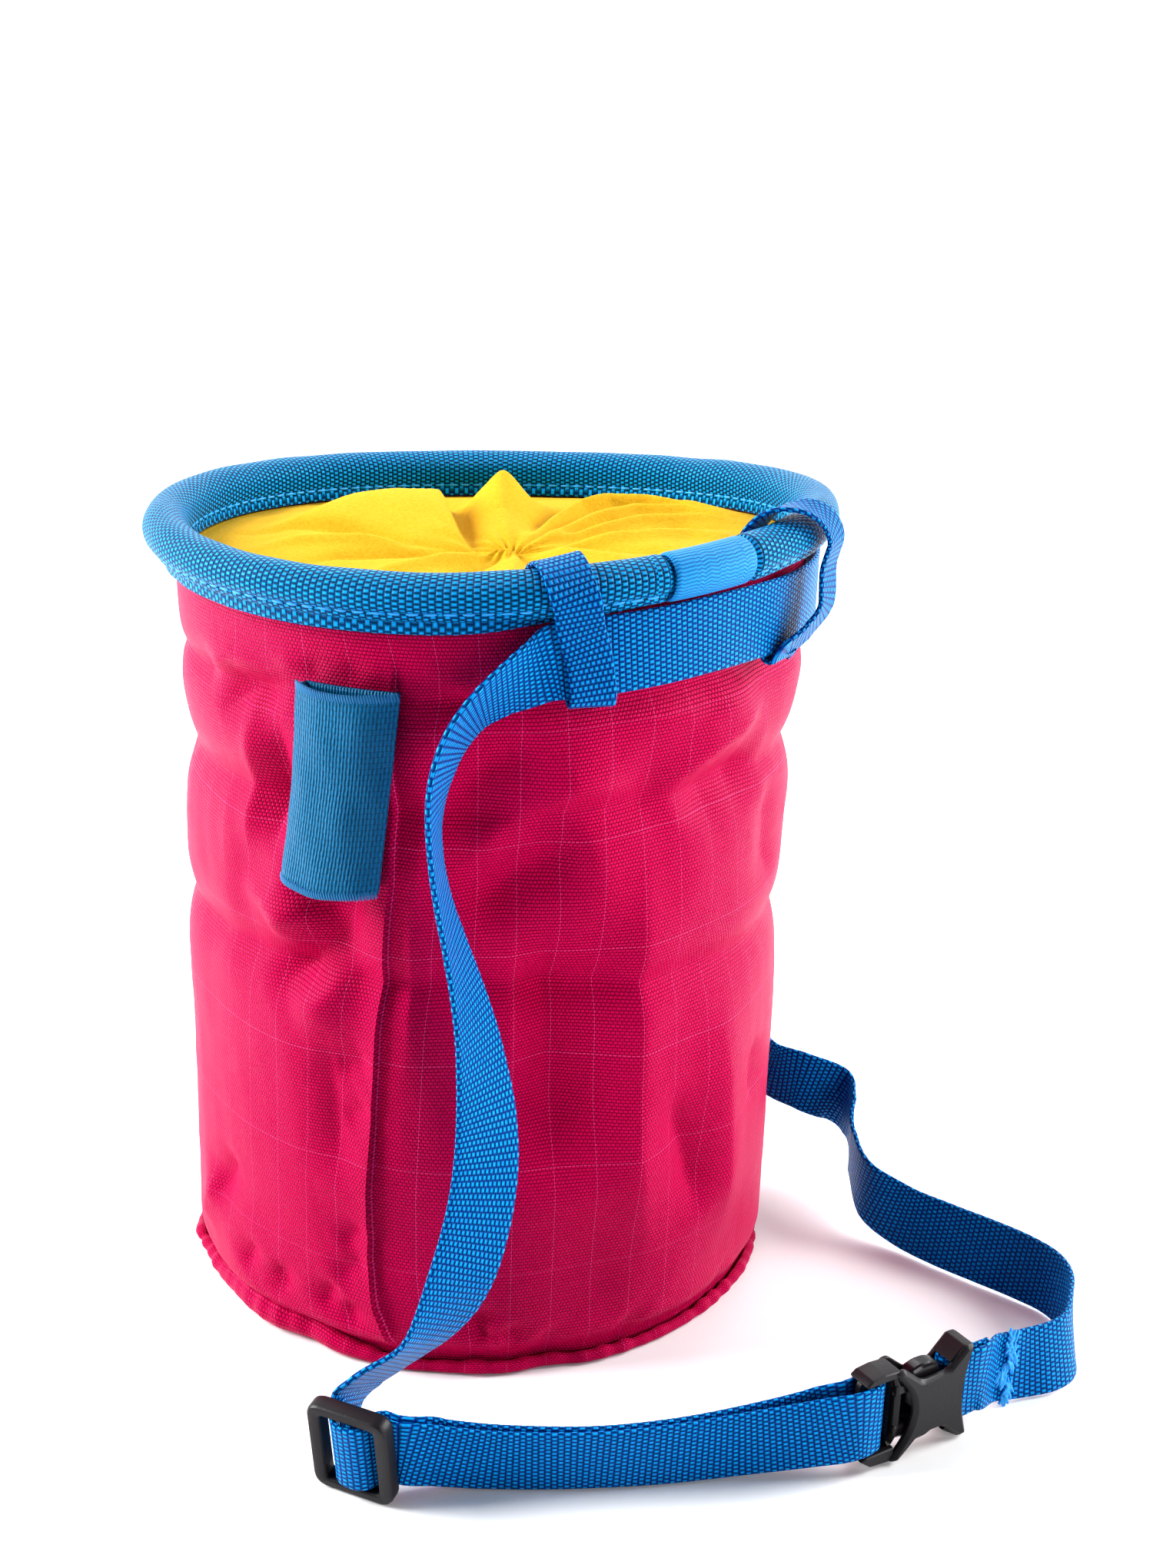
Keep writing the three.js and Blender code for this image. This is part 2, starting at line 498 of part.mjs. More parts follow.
// Belt loops: narrow webbing from inside the rim, over it, over the belt, under the belt's lower
// edge and up behind the belt. The belt climbs a little between the two loops.
const beltHeight = (degrees) => BAG_HEIGHT - BELT_DROP + BELT_RISE * smoothstep(degrees, -80, -44);
const LOOP_HOLD = GAP + LOOP_CLOTH / 2;
const LOOP_INSIDE = SKIRT_INNER - 1.6 * LOOP_HOLD;
const LOOP_OUTSIDE = BELT_RADIUS + BELT_CLOTH / 2 + LOOP_HOLD;
const LOOP_BEHIND = BELT_RADIUS - BELT_CLOTH / 2 - LOOP_HOLD;
const LOOP_TURN = BELT_CLOTH / 2 + LOOP_HOLD + GAP / 2;

// A place of a loop: angle round the bag, distance from the axis, height, and the rise of the
// webbing's edge across its width
const loopStation = ([angle, radius, height, tip = 0]) => station(
  polar(radius, angle, height),
  new THREE.Vector3(-Math.sin(angle * DEG), Math.cos(angle * DEG), tip),
);

// The same, given by a turn round the rim's tube and a distance from it in loop clearances
const loopOverRim = (angle, turn, off, tip) => {
  const radius = RIM_TUBE_RADIUS + off * LOOP_HOLD;
  const height = RING_HEIGHT + rimLift(angle) + radius * Math.sin(turn * DEG);
  return loopStation([angle, RING_RADIUS + radius * Math.cos(turn * DEG), height, tip]);
};

// The turn of a loop under the belt's lower edge, from its outside to behind it
const loopUnderBelt = (angle, low) => [0, -45, -90, -135, -180].map((turn) => loopStation([
  angle,
  BELT_RADIUS + LOOP_TURN * Math.cos(turn * DEG),
  low + LOOP_TURN * Math.sin(turn * DEG),
]));

function beltLoopLeft() {
  const low = beltHeight(-74.4) - BELT_WIDTH / 2;
  const stations = [
    loopStation([-81, LOOP_INSIDE, skirtBottom(-81) + 0.2 * SKIRT_DROP]),
    loopOverRim(-80.9, 176, 2, 0.1),
    loopOverRim(-80.6, 135, 1.9, 0.22),
    loopOverRim(-80.2, 95, 1.9, 0.22),
    loopOverRim(-79.6, 58, 1.6, 0.12),
    loopOverRim(-78.9, 22, 1.2, 0),
    loopOverRim(-78.1, -10, 1.2, 0),
    loopStation([-77, LOOP_OUTSIDE + 0.4 * RIM_TUBE_RADIUS, low + 0.88 * BELT_WIDTH]),
    loopStation([-75.5, LOOP_OUTSIDE + 0.12 * RIM_TUBE_RADIUS, low + 0.55 * BELT_WIDTH]),
    ...loopUnderBelt(-74.4, low),
    loopStation([-74.2, LOOP_BEHIND, low + 0.6 * BELT_WIDTH]),
  ];
  return named('belt_loop_left', strapBody(stations, 4.5, LOOP_WIDTH, LOOP_CLOTH), BLUE);
}

function beltLoopRight() {
  const low = beltHeight(-34.4) - BELT_WIDTH / 2;
  const stations = [
    loopStation([-37, LOOP_INSIDE, skirtBottom(-37) + 0.2 * SKIRT_DROP]),
    loopOverRim(-36.4, 176, 2, 0),
    loopOverRim(-35.2, 140, 1.8, 0),
    loopOverRim(-33.2, 105, 2.2, 0),
    loopOverRim(-30.6, 68, 2.7, 0),
    loopOverRim(-28.2, 35, 2.9, 0),
    loopOverRim(-26.8, 0, 3.3, 0),
    loopOverRim(-26.6, -44, 4.8, 0),
    loopStation([-27.6, LOOP_OUTSIDE + RIM_TUBE_RADIUS, low + 0.56 * BELT_WIDTH]),
    loopStation([-30.2, LOOP_OUTSIDE + 0.55 * RIM_TUBE_RADIUS, low + 0.25 * BELT_WIDTH]),
    ...loopUnderBelt(-34.4, low),
    loopStation([-35.4, LOOP_BEHIND, low + 0.6 * BELT_WIDTH]),
  ];
  return named('belt_loop_right', strapBody(stations, 4.5, LOOP_WIDTH, LOOP_CLOTH), BLUE);
}

// Directions of a piece of hardware: along the belt, across it (up), and out to the front
function hardwareAxes({ heading, lean }) {
  const along = new THREE.Vector3(Math.cos(heading * DEG), Math.sin(heading * DEG), 0);
  const level = new THREE.Vector3(Math.sin(heading * DEG), -Math.cos(heading * DEG), 0);
  const up = new THREE.Vector3(0, 0, Math.cos(lean * DEG)).addScaledVector(level, Math.sin(lean * DEG));
  return { along, up, out: along.clone().cross(up) };
}

const hardwareCentre = ({ angle, reach, height }) => polar(BODY_RADIUS * reach, angle, GAP + height / 2);

// The belt's stations at a piece of hardware, given in its own plane as distances along the belt
// and out to the front. The side tells which edge of the belt is up.
function hardwareStations(place, side, rise, places) {
  const { along, up, out } = hardwareAxes(place);
  const centre = hardwareCentre(place).addScaledVector(UPWARD, rise);
  const edge = up.multiplyScalar(side);
  return places.map(([x, z]) =>
    station(centre.clone().addScaledVector(along, x).addScaledVector(out, z), edge));
}

// Half turn of the belt round the end of a bar, from its back to its front or the other way
function roundBar(x, z, radius, side, from, to) {
  return Array.from({ length: 5 }, (_, i) => {
    const turn = lerp(from, to, i / 4) * DEG;
    return [x + side * radius * Math.cos(turn), z + radius * Math.sin(turn)];
  });
}

// The slider's three bars: two ends, and a thin one in the middle that the belt's end is sewn on
const SLIDER_FACE = SLIDER_THICKNESS / 2;
const SLIDER_END = SLIDER_LENGTH / 2;
const SLIDER_INSIDE = SLIDER_END - SLIDER_BAR;
const MIDDLE_BAR = { half: 1.1, centre: -1.2, depth: 0.8 };
const SEWN_TURN = MIDDLE_BAR.depth + HOLD + 0.2;
const SEWN_FRONT = MIDDLE_BAR.centre + SEWN_TURN;
const BEHIND_SLIDER = -SLIDER_FACE - HOLD - 0.1;

const SEWN_END = [
  [MIDDLE_BAR.half, MIDDLE_BAR.centre - SEWN_TURN],
  ...roundBar(MIDDLE_BAR.depth - MIDDLE_BAR.half, MIDDLE_BAR.centre, SEWN_TURN, -1, -90, 90),
  [0.9 * MIDDLE_BAR.half, SEWN_FRONT],
  [0.41 * SLIDER_INSIDE, SEWN_FRONT - 0.95 * LAYER],
  [0.58 * SLIDER_INSIDE, BEHIND_SLIDER - 0.3 * LAYER],
  [0.86 * SLIDER_INSIDE, BEHIND_SLIDER - 1.15 * LAYER],
  [SLIDER_END, BEHIND_SLIDER - 1.25 * LAYER],
];

const THROUGH_SLIDER = [
  [SLIDER_END, BEHIND_SLIDER],
  [1.07 * SLIDER_INSIDE, BEHIND_SLIDER - 0.1 * LAYER],
  [0.87 * SLIDER_INSIDE, BEHIND_SLIDER + 0.4 * LAYER],
  [0.72 * SLIDER_INSIDE, SEWN_FRONT - 0.75 * LAYER],
  [0.54 * SLIDER_INSIDE, SEWN_FRONT + 0.45 * LAYER],
  [0.27 * SLIDER_INSIDE, SEWN_FRONT + 1.02 * LAYER],
  [0, SEWN_FRONT + 1.1 * LAYER],
  [-0.3 * SLIDER_INSIDE, SEWN_FRONT + 0.95 * LAYER],
  [-0.56 * SLIDER_INSIDE, SEWN_FRONT + 0.25 * LAYER],
  [-0.71 * SLIDER_INSIDE, SEWN_FRONT - 1.0 * LAYER],
  [-0.76 * SLIDER_INSIDE, BEHIND_SLIDER],
  [-0.78 * SLIDER_INSIDE, BEHIND_SLIDER - 1.6 * LAYER],
];

const SOCKET_END = BUCKLE_LENGTH / 2;
const PLUG_BAR = { left: -SOCKET_END - PLUG_REACH, width: 4.4, depth: 1.1 };
const PLUG_TURN = PLUG_BAR.depth + HOLD + 0.3;
const PLUG_CORNER = PLUG_BAR.left + PLUG_BAR.width;
const SOCKET_BAR = { left: 0.26 * BUCKLE_LENGTH, width: 2, depth: 0.8, centre: -0.4 };
const SOCKET_TURN = SOCKET_BAR.depth + HOLD + 0.1;
const SOCKET_FRONT = SOCKET_BAR.centre + SOCKET_TURN;

const ROUND_PLUG = [
  [PLUG_BAR.left - 1, -PLUG_TURN],
  ...roundBar(PLUG_CORNER - PLUG_BAR.depth, 0, PLUG_TURN, 1, -90, 90),
  [PLUG_BAR.left - 1, PLUG_TURN],
];

const ROUND_SOCKET = [
  [SOCKET_BAR.left + 9.5, SOCKET_FRONT],
  [SOCKET_BAR.left + 5, SOCKET_FRONT],
  ...roundBar(SOCKET_BAR.left + SOCKET_BAR.depth, SOCKET_BAR.centre, SOCKET_TURN, -1, 90, -90),
  [SOCKET_BAR.left + 4, SOCKET_BAR.centre - SOCKET_TURN],
  [SOCKET_BAR.left + 7.5, SOCKET_FRONT - 1.2 * LAYER],
  [SOCKET_BAR.left + 11.5, SOCKET_FRONT - 1.1 * LAYER],
];

function frontRun(start, end, rear) {
  const forward = end.clone().sub(start);
  const out = new THREE.Vector3(forward.y, -forward.x, 0).normalize();
  return FRONT_RUN.map(({ along, bow, apart, lifted, lean }) => {
    const point = start.clone().lerp(end, along);
    point.addScaledVector(out, BELT_WIDTH * bow - (rear ? apart * BELT_CLOTH : 0));
    const edge = UPWARD.clone().multiplyScalar(Math.cos(lean * DEG));
    edge.addScaledVector(out, Math.sin(lean * DEG));
    point.z = ON_EDGE + BELT_WIDTH * lifted;
    return station(point, edge);
  });
}

function backRun() {
  const points = BACK_RUN.map(({ angle, reach, lifted }) =>
    polar(BELT_RADIUS * reach, angle, ON_EDGE + BELT_WIDTH * lifted));
  return points.map((point, i) => {
    const ahead = points[Math.min(i + 1, points.length - 1)].clone();
    const forward = ahead.sub(points[Math.max(i - 1, 0)]);
    const away = new THREE.Vector3(-forward.y, forward.x, 0).normalize();
    const lean = BACK_RUN[i].lean * DEG;
    const edge = away.multiplyScalar(-Math.sin(lean)).addScaledVector(UPWARD, -Math.cos(lean));
    return station(point, edge);
  });
}

function beltWebbing() {
  const onWay = ({ angle, reach, height, edge }) =>
    station(polar(BELT_RADIUS * reach, angle, BAG_HEIGHT * height), new THREE.Vector3(...edge));
  const throughSlider = hardwareStations(SLIDER_PLACE, 1, 0, THROUGH_SLIDER);
  const roundPlug = hardwareStations(SOCKET_PLACE, 1, PLUG_RISE, ROUND_PLUG);
  const start = throughSlider[0].point;
  const end = roundPlug.at(-1).point;
  const onBag = [-76, -71, -62, -53, -44, -35, -26, -17, -6].map((angle) =>
    station(polar(BELT_RADIUS, angle, beltHeight(angle)), UPWARD));
  const stations = [
    ...hardwareStations(SLIDER_PLACE, 1, 0, SEWN_END),
    ...frontRun(start, end, true),
    ...roundPlug,
    ...frontRun(start, end, false).reverse(),
    ...throughSlider,
    ...HANGING_BELT.map(onWay),
    ...onBag,
    ...HIDDEN_BELT.map(onWay),
    ...backRun(),
    ...hardwareStations(SOCKET_PLACE, -1, 0, ROUND_SOCKET),
  ];
  return named('belt_webbing', strapBody(stations, 6, BELT_WIDTH, BELT_CLOTH), BLUE);
}

// Solids cut and joined for the hardware, drawn with x along the belt, y across it (up) and z
// out to the front
function toSolid(geometry) {
  const bare = geometry.clone();
  bare.deleteAttribute('normal');
  bare.deleteAttribute('uv');
  const merged = mergeVertices(bare, 1e-4);
  return new wasm.Manifold(new wasm.Mesh({
    numProp: 3,
    vertProperties: new Float32Array(merged.getAttribute('position').array),
    triVerts: new Uint32Array(merged.index.array),
  }));
}

function block(from, to) {
  const size = to.map((value, i) => value - from[i]);
  const box = new THREE.BoxGeometry(...size);
  box.translate(...from.map((value, i) => value + size[i] / 2));
  return toSolid(box);
}

function plate(shape, low, high, bevel = 0) {
  const body = new THREE.ExtrudeGeometry(shape, {
    depth: high - low - 2 * bevel,
    bevelEnabled: bevel > 0,
    bevelThickness: bevel,
    bevelSize: bevel,
    bevelOffset: -bevel,
    bevelSegments: 1,
    curveSegments: 4,
  });
  body.translate(0, 0, low + bevel);
  return toSolid(body);
}

function standHardware(name, solid, place) {
  const mesh = solid.getMesh();
  const body = closedBody(Array.from(mesh.vertProperties), Array.from(mesh.triVerts));
  const piece = named(name, body, BLACK);
  const { along, up, out } = hardwareAxes(place);
  piece.quaternion.setFromRotationMatrix(new THREE.Matrix4().makeBasis(along, up, out));
  piece.position.copy(hardwareCentre(place));
  return piece;
}

function roundedRectangle(length, height, corner) {
  const [x, y] = [length / 2 - corner, height / 2 - corner];
  const shape = new THREE.Shape();
  shape.absarc(x, -y, corner, -Math.PI / 2, 0);
  shape.absarc(x, y, corner, 0, Math.PI / 2);
  shape.absarc(-x, y, corner, Math.PI / 2, Math.PI);
  shape.absarc(-x, -y, corner, Math.PI, 1.5 * Math.PI);
  return shape;
}

function slider() {
  const outline = roundedRectangle(SLIDER_LENGTH, SLIDER_HEIGHT, SLIDER_CORNER);
  const frame = plate(outline, -SLIDER_FACE, SLIDER_FACE, MOULDED_BEVEL);
  const opening = block(
    [-SLIDER_INSIDE, -WINDOW_HALF, -SLIDER_THICKNESS],
    [SLIDER_INSIDE, WINDOW_HALF, SLIDER_THICKNESS],
  );
  const { half, centre, depth } = MIDDLE_BAR;
  const bar = block(
    [-half, -WINDOW_HALF - GAP, centre - depth],
    [half, WINDOW_HALF + GAP, centre + depth],
  );
  return standHardware('slider', frame.subtract(opening).add(bar), SLIDER_PLACE);
}

// The socket's outline is a cross with four horns and hollow sides, in half lengths and heights
const CROSS_TOP = [[1, 0.98], [0.78, 1], [0.3, 0.62], [-0.3, 0.62], [-0.8, 1], [-1, 0.94]];

function crossOutline() {
  const [x, y] = [BUCKLE_LENGTH / 2, BUCKLE_HEIGHT / 2];
  const shape = new THREE.Shape();
  shape.moveTo(x, -0.98 * y);
  shape.quadraticCurveTo(0.8 * x, -0.55 * y, 0.8 * x, 0);
  shape.quadraticCurveTo(0.8 * x, 0.55 * y, x, 0.98 * y);
  CROSS_TOP.slice(1).forEach(([along, up]) => shape.lineTo(along * x, up * y));
  shape.quadraticCurveTo(-0.45 * x, 0.5 * y, -0.42 * x, 0);
  shape.quadraticCurveTo(-0.45 * x, -0.5 * y, -x, -0.94 * y);
  CROSS_TOP.slice(1, 5).reverse().forEach(([along, up]) => shape.lineTo(along * x, -up * y));
  return shape;
}

const PRONG_FACE = PRONG_THICKNESS / 2;

function buckleSocket() {
  const [x, y] = [BUCKLE_LENGTH / 2, BUCKLE_HEIGHT / 2];
  const { left, width, centre, depth } = SOCKET_BAR;
  const body = plate(crossOutline(), -BUCKLE_THICKNESS / 2, BUCKLE_THICKNESS / 2, MOULDED_BEVEL);
  const prongRoom = block([-2 * x, -2 * y, -PRONG_FACE - GAP], [0.28 * x, 2 * y, PRONG_FACE + GAP]);
  const strapRoom = block(
    [left - SOCKET_TURN - BELT_CLOTH, -WINDOW_HALF, -BUCKLE_THICKNESS],
    [2 * x, WINDOW_HALF, SOCKET_FRONT + HOLD],
  );
  const rib = block(
    [-0.3 * x, -0.14 * x, -PRONG_FACE - 2 * GAP],
    [0.3 * x, 0.14 * x, PRONG_FACE + 2 * GAP],
  );
  const bar = block(
    [left, -WINDOW_HALF - GAP, centre - depth],
    [left + width, WINDOW_HALF + GAP, centre + depth],
  );
  const solid = body.subtract(prongRoom).subtract(strapRoom).add(rib).add(bar);
  return standHardware('buckle_socket', solid, SOCKET_PLACE);
}

// The plug: a frame with a bar for the belt, a thin tongue that enters the socket, and two
// prongs whose ends show between the socket's horns
function bucklePlug() {
  const [x, y] = [BUCKLE_LENGTH / 2, BUCKLE_HEIGHT / 2];
  const { left, width, depth } = PLUG_BAR;
  const right = -x - GAP;
  const [top, bottom] = [WINDOW_HALF + PLUG_RISE, -WINDOW_HALF + PLUG_RISE];
  const [crown, foot] = [top + PLUG_WALL, bottom - 2 * PLUG_WALL];
  const frame = new THREE.Shape();
  frame.moveTo(right, foot);
  frame.lineTo(right, crown);
  frame.lineTo(left + 0.5 * width, crown);
  frame.quadraticCurveTo(left, crown - 0.3 * PLUG_WALL, left, 0.7 * crown);
  frame.lineTo(left, 0.62 * foot);
  frame.quadraticCurveTo(left, foot + 0.8 * PLUG_WALL, left + 0.5 * width, foot + 0.4 * PLUG_WALL);
  const prong = new THREE.Shape();
  prong.moveTo(-0.84 * x, 0.3 * y);
  prong.lineTo(-0.4 * x, 0.32 * y);
  prong.lineTo(0.2 * x, 0.5 * y);
  prong.lineTo(0.22 * x, 0.7 * y);
  prong.quadraticCurveTo(-0.1 * x, 0.82 * y, -0.42 * x, 0.74 * y);
  prong.lineTo(-0.55 * x, 0.56 * y);
  prong.lineTo(-0.84 * x, 0.56 * y);
  const upper = plate(prong, -PRONG_FACE, PRONG_FACE);
  const lower = upper.mirror([0, 1, 0]);
  const tongue = block(
    [right - 1, foot + 0.8 * PLUG_WALL, -PRONG_FACE],
    [-0.8 * x, crown - 0.66 * PLUG_WALL, PRONG_FACE],
  );
  const opening = block([PLUG_CORNER, bottom, -BUCKLE_THICKNESS], [-0.94 * x, top, BUCKLE_THICKNESS]);
  const thinBack = block([left - 1, bottom, -BUCKLE_THICKNESS], [PLUG_CORNER + 1, top, -depth]);
  const thinFront = block([left - 1, bottom, depth], [PLUG_CORNER + 1, top, BUCKLE_THICKNESS]);
  const plugFace = PLUG_THICKNESS / 2;
  const body = plate(frame, -plugFace, plugFace, MOULDED_BEVEL).add(tongue).subtract(opening);
  const solid = body.subtract(thinBack).subtract(thinFront).add(upper).add(lower);
  return standHardware('buckle_plug', solid, SOCKET_PLACE);
}

const chalkBag = new THREE.Group();
chalkBag.add(
  sideWall(),
  basePanel(),
  rimBinding(),
  rimSplice(),
  closure(),
  brushHolder(),
  beltLoopLeft(),
  beltLoopRight(),
  beltWebbing(),
  slider(),
  buckleSocket(),
  bucklePlug(),
);

export default chalkBag;
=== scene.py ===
import bpy
import numpy as np
from mathutils import Matrix, Vector


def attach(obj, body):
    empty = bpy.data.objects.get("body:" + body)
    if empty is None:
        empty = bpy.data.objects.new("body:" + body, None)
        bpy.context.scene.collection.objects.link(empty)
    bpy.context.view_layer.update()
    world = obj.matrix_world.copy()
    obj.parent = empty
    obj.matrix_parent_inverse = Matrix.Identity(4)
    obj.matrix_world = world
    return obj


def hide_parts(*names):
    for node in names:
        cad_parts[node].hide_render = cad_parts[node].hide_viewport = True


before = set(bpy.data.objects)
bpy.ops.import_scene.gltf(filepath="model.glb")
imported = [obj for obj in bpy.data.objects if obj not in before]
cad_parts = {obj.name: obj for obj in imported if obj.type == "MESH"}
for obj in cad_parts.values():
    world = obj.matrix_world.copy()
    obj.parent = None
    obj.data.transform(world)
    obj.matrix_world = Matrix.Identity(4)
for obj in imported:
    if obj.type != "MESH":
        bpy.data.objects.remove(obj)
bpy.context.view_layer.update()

MM = 0.001
DEG = np.pi / 180

# Sizes of the bag, as in the CAD. The body's cloth is a tube between two heights
BAG_HEIGHT = 171.0
BODY_RADIUS = 65.0
BODY_CLOTH = 0.8
WALL_FOOT = 1.5
WALL_EDGE = 164.4
WALL_TOP_RADIUS = 65.6
HEM_RADIUS = 63.8
HEM_CLOTH = 1.6
# The rim: a tube round a ring, and two skirts whose lower edge is so far under the ring
RIM_RADIUS = 72.0
TUBE = 4.5
RING_RADIUS = RIM_RADIUS - TUBE
RING_HEIGHT = BAG_HEIGHT - TUBE
SKIRT_DROP = 5.7
SKIRT_OUTER = 67.1
SKIRT_INNER = 63.1
# The slot between the skirts, which takes the wall's upper edge
SLOT_OUTER = 65.95
SLOT_INNER = 64.25
# Angles of the sleeve's ends, and the place in plan where the closure is twisted shut
SPLICE = (-62.5, -46.8)
TWIST = (3.9, -15.6)
# The belt and the loops
BELT_WIDTH = 15.0
BELT_CLOTH = 1.1
BELT_RADIUS = 67.95
LOOP_WIDTH = 9.0
LOOP_CLOTH = 1.0
# The brush holder: outer and inner radius, how far it bulges, the angle of its right edge and
# how far that leans, the angle it spans, its foot, its height and its width of elastic
HOLDER_OUT = 67.6
HOLDER_IN = 65.75
HOLDER_BULGE = 5.0
HOLDER_RIGHT = -103.6
HOLDER_LEAN = 3.6
HOLDER_SPAN = 18
HOLDER_FOOT = 107.2
HOLDER_HEIGHT = 38.8
HOLDER_WIDTH = 20.5


# Shapes worked out in numpy


def bump(offset, width):
    """Half a cosine wave, 1 at the middle and 0 from one width away."""
    return 0.5 + 0.5 * np.cos(np.pi * np.minimum(np.abs(offset) / width, 1))


def step(value, low, high):
    """Smooth step, 0 below low and 1 above high."""
    share = np.clip((value - low) / (high - low), 0, 1)
    return share * share * (3 - 2 * share)


def turn_between(a, b):
    """From angle b to angle a, between -180 and 180."""
    return (a - b + 180) % 360 - 180


def polar(radius, degrees, height):
    """Points at a radius and an angle round the Z axis, at a height."""
    radius, degrees, height = np.broadcast_arrays(radius, degrees, height)
    return np.stack(
        [radius * np.cos(degrees * DEG), radius * np.sin(degrees * DEG), height], -1
    )


def unit(vectors):
    """Vectors divided by their lengths."""
    return vectors / np.linalg.norm(vectors, axis=-1, keepdims=True)


def relief(x, y, path, height, left, right, power=1.5, fade=0.35):
    """Fold along a bent line: its height times exp(-(distance / width) ^ power), with a width to
    the left and one to the right. A single height fades at both ends, a list gives one per point."""
    path = np.array(path, float)
    lengths = np.hypot(*np.diff(path, axis=0).T)
    starts = np.concatenate([[0], np.cumsum(lengths)])
    nearest = np.full(x.shape, np.inf)
    side = np.ones(x.shape)
    along = np.zeros(x.shape)
    for (ax, ay), (bx, by), length, start in zip(
        path[:-1], path[1:], lengths, starts[:-1]
    ):
        dx, dy = (bx - ax) / length, (by - ay) / length
        reach = np.clip((x - ax) * dx + (y - ay) * dy, 0, length)
        gap = np.hypot(x - ax - reach * dx, y - ay - reach * dy)
        nearer = gap < nearest
        side = np.where(nearer, dx * (y - ay) - dy * (x - ax), side)
        along = np.where(nearer, start + reach, along)
        nearest = np.where(nearer, gap, nearest)
    share = along / starts[-1]
    if np.isscalar(height):
        high = height * step(share, -0.02, fade) * step(1 - share, -0.02, fade)
    else:
        high = np.interp(along, starts, height)
    width = np.where(side > 0, left, right)
    return high * np.exp(-((nearest / width) ** power))


def ripples(x, y, seed, count, lengths, height):
    """Sum of sine waves in seeded directions and phases, each between the two wavelengths."""
    chance = np.random.default_rng(seed)
    total = np.zeros(np.broadcast(x, y).shape)
    for _ in range(count):
        turn = chance.uniform(0, np.pi)
        pitch = 2 * np.pi / chance.uniform(*lengths)
        total += np.sin(
            pitch * (x * np.cos(turn) + y * np.sin(turn)) + chance.uniform(0, 6.28)
        )
    return height * total / np.sqrt(count)


def build(name, vertices, faces, loops, soft=40):
    """Mesh object from points in millimetres, faces and their corners' places on the cloth. Faces
    are turned outwards where the volume that they enclose comes out negative."""
    sides = np.array([len(face) for face in faces])
    ends = np.cumsum(sides)
    flat = np.concatenate(faces)
    first = vertices[flat[ends - sides]]
    second = vertices[flat[ends - sides + 1]]
    third = vertices[flat[ends - sides + 2]]
    if np.sum(first * np.cross(second, third)) < 0:
        order = np.repeat(ends + ends - sides - 1, sides) - np.arange(len(flat))
        flat, loops = flat[order], loops[order]
    mesh = bpy.data.meshes.new(name)
    mesh.vertices.add(len(vertices))
    mesh.vertices.foreach_set("co", (vertices * MM).ravel())
    mesh.loops.add(len(flat))
    mesh.loops.foreach_set("vertex_index", flat.astype(np.int32))
    mesh.polygons.add(len(sides))
    mesh.polygons.foreach_set("loop_start", (ends - sides).astype(np.int32))
    mesh.update(calc_edges=True)
    layer = mesh.uv_layers.new(name="cloth")
    layer.data.foreach_set("uv", loops.astype(np.float32).ravel())
    mesh.validate()
    mesh.shade_smooth()
    mesh.set_sharp_from_angle(angle=soft * DEG)
    piece = bpy.data.objects.new(name, mesh)
    bpy.context.collection.objects.link(piece)
    return piece


def surface(name, points, places, wrap=(False, False), caps=(False, False), soft=40):
    """Surface through a grid of points, closed round its rows or columns where wrap says so, and
    with a face over its first or last row where it has caps. Places are on the cloth, in
    millimetres, with one more row or column where it is closed."""
    rows, columns = points.shape[:2]
    i, j = np.meshgrid(
        np.arange(rows - (not wrap[0])), np.arange(columns - (not wrap[1])), indexing="ij"
    )
    corners = [(i, j), (i, j + 1), (i + 1, j + 1), (i + 1, j)]
    faces = np.stack([a % rows * columns + b % columns for a, b in corners], -1)
    loops = np.stack([places[a, b] for a, b in corners], -2).reshape(-1, 2)
    faces = list(faces.reshape(-1, 4))
    ring = np.arange(columns)
    if caps[0]:
        faces.append(ring[::-1])
        loops = np.concatenate([loops, places[0, ring[::-1]]])
    if caps[1]:
        faces.append((rows - 1) * columns + ring)
        loops = np.concatenate([loops, places[-1, ring]])
    return build(name, points.reshape(-1, 3), faces, loops, soft)


def grid_places(rows, columns):
    """Places on the cloth from one number per row and one per column."""
    return np.stack(np.meshgrid(columns, rows), -1)


def thicken(piece, thickness):
    """Gives a surface its cloth's thickness, inwards."""
    solid = piece.modifiers.new("thickness", "SOLIDIFY")
    solid.thickness = thickness * MM
    solid.offset = -1
    return piece


def threads(name, places, along, out, length, thick):
    """Row of stitches: each is a thread that lies along a line, its section a hexagon that
    shrinks towards both ends, half sunk in the cloth."""
    ends = np.linspace(0.3, np.pi - 0.3, 4)
    around = np.arange(6) * np.pi / 3
    side = unit(np.cross(along, out))
    reach = -np.cos(ends)[None, :, None, None] * length / 2
    wide = np.sqrt(np.sin(ends))[None, :, None, None] * thick / 2
    ring = (
        np.cos(around)[None, None, :, None] * side[:, None, None]
        + np.sin(around)[None, None, :, None] * out[:, None, None]
    )
    points = places[:, None, None] + reach * along[:, None, None] + wide * ring
    i, j = np.meshgrid(np.arange(3), np.arange(6), indexing="ij")
    corners = [(i, j), (i, j + 1), (i + 1, j + 1), (i + 1, j)]
    quads = np.stack([a * 6 + b % 6 for a, b in corners], -1).reshape(-1, 4)
    shifts = np.arange(len(places))[:, None, None] * 24
    faces = list((quads[None] + shifts).reshape(-1, 4))
    hexagon = np.arange(6)
    tips = np.stack([hexagon[::-1], 18 + hexagon])
    faces += list((tips[None] + shifts).reshape(-1, 6))
    loops = np.zeros((sum(len(face) for face in faces), 2))
    return build(name, points.reshape(-1, 3), faces, loops, 60)


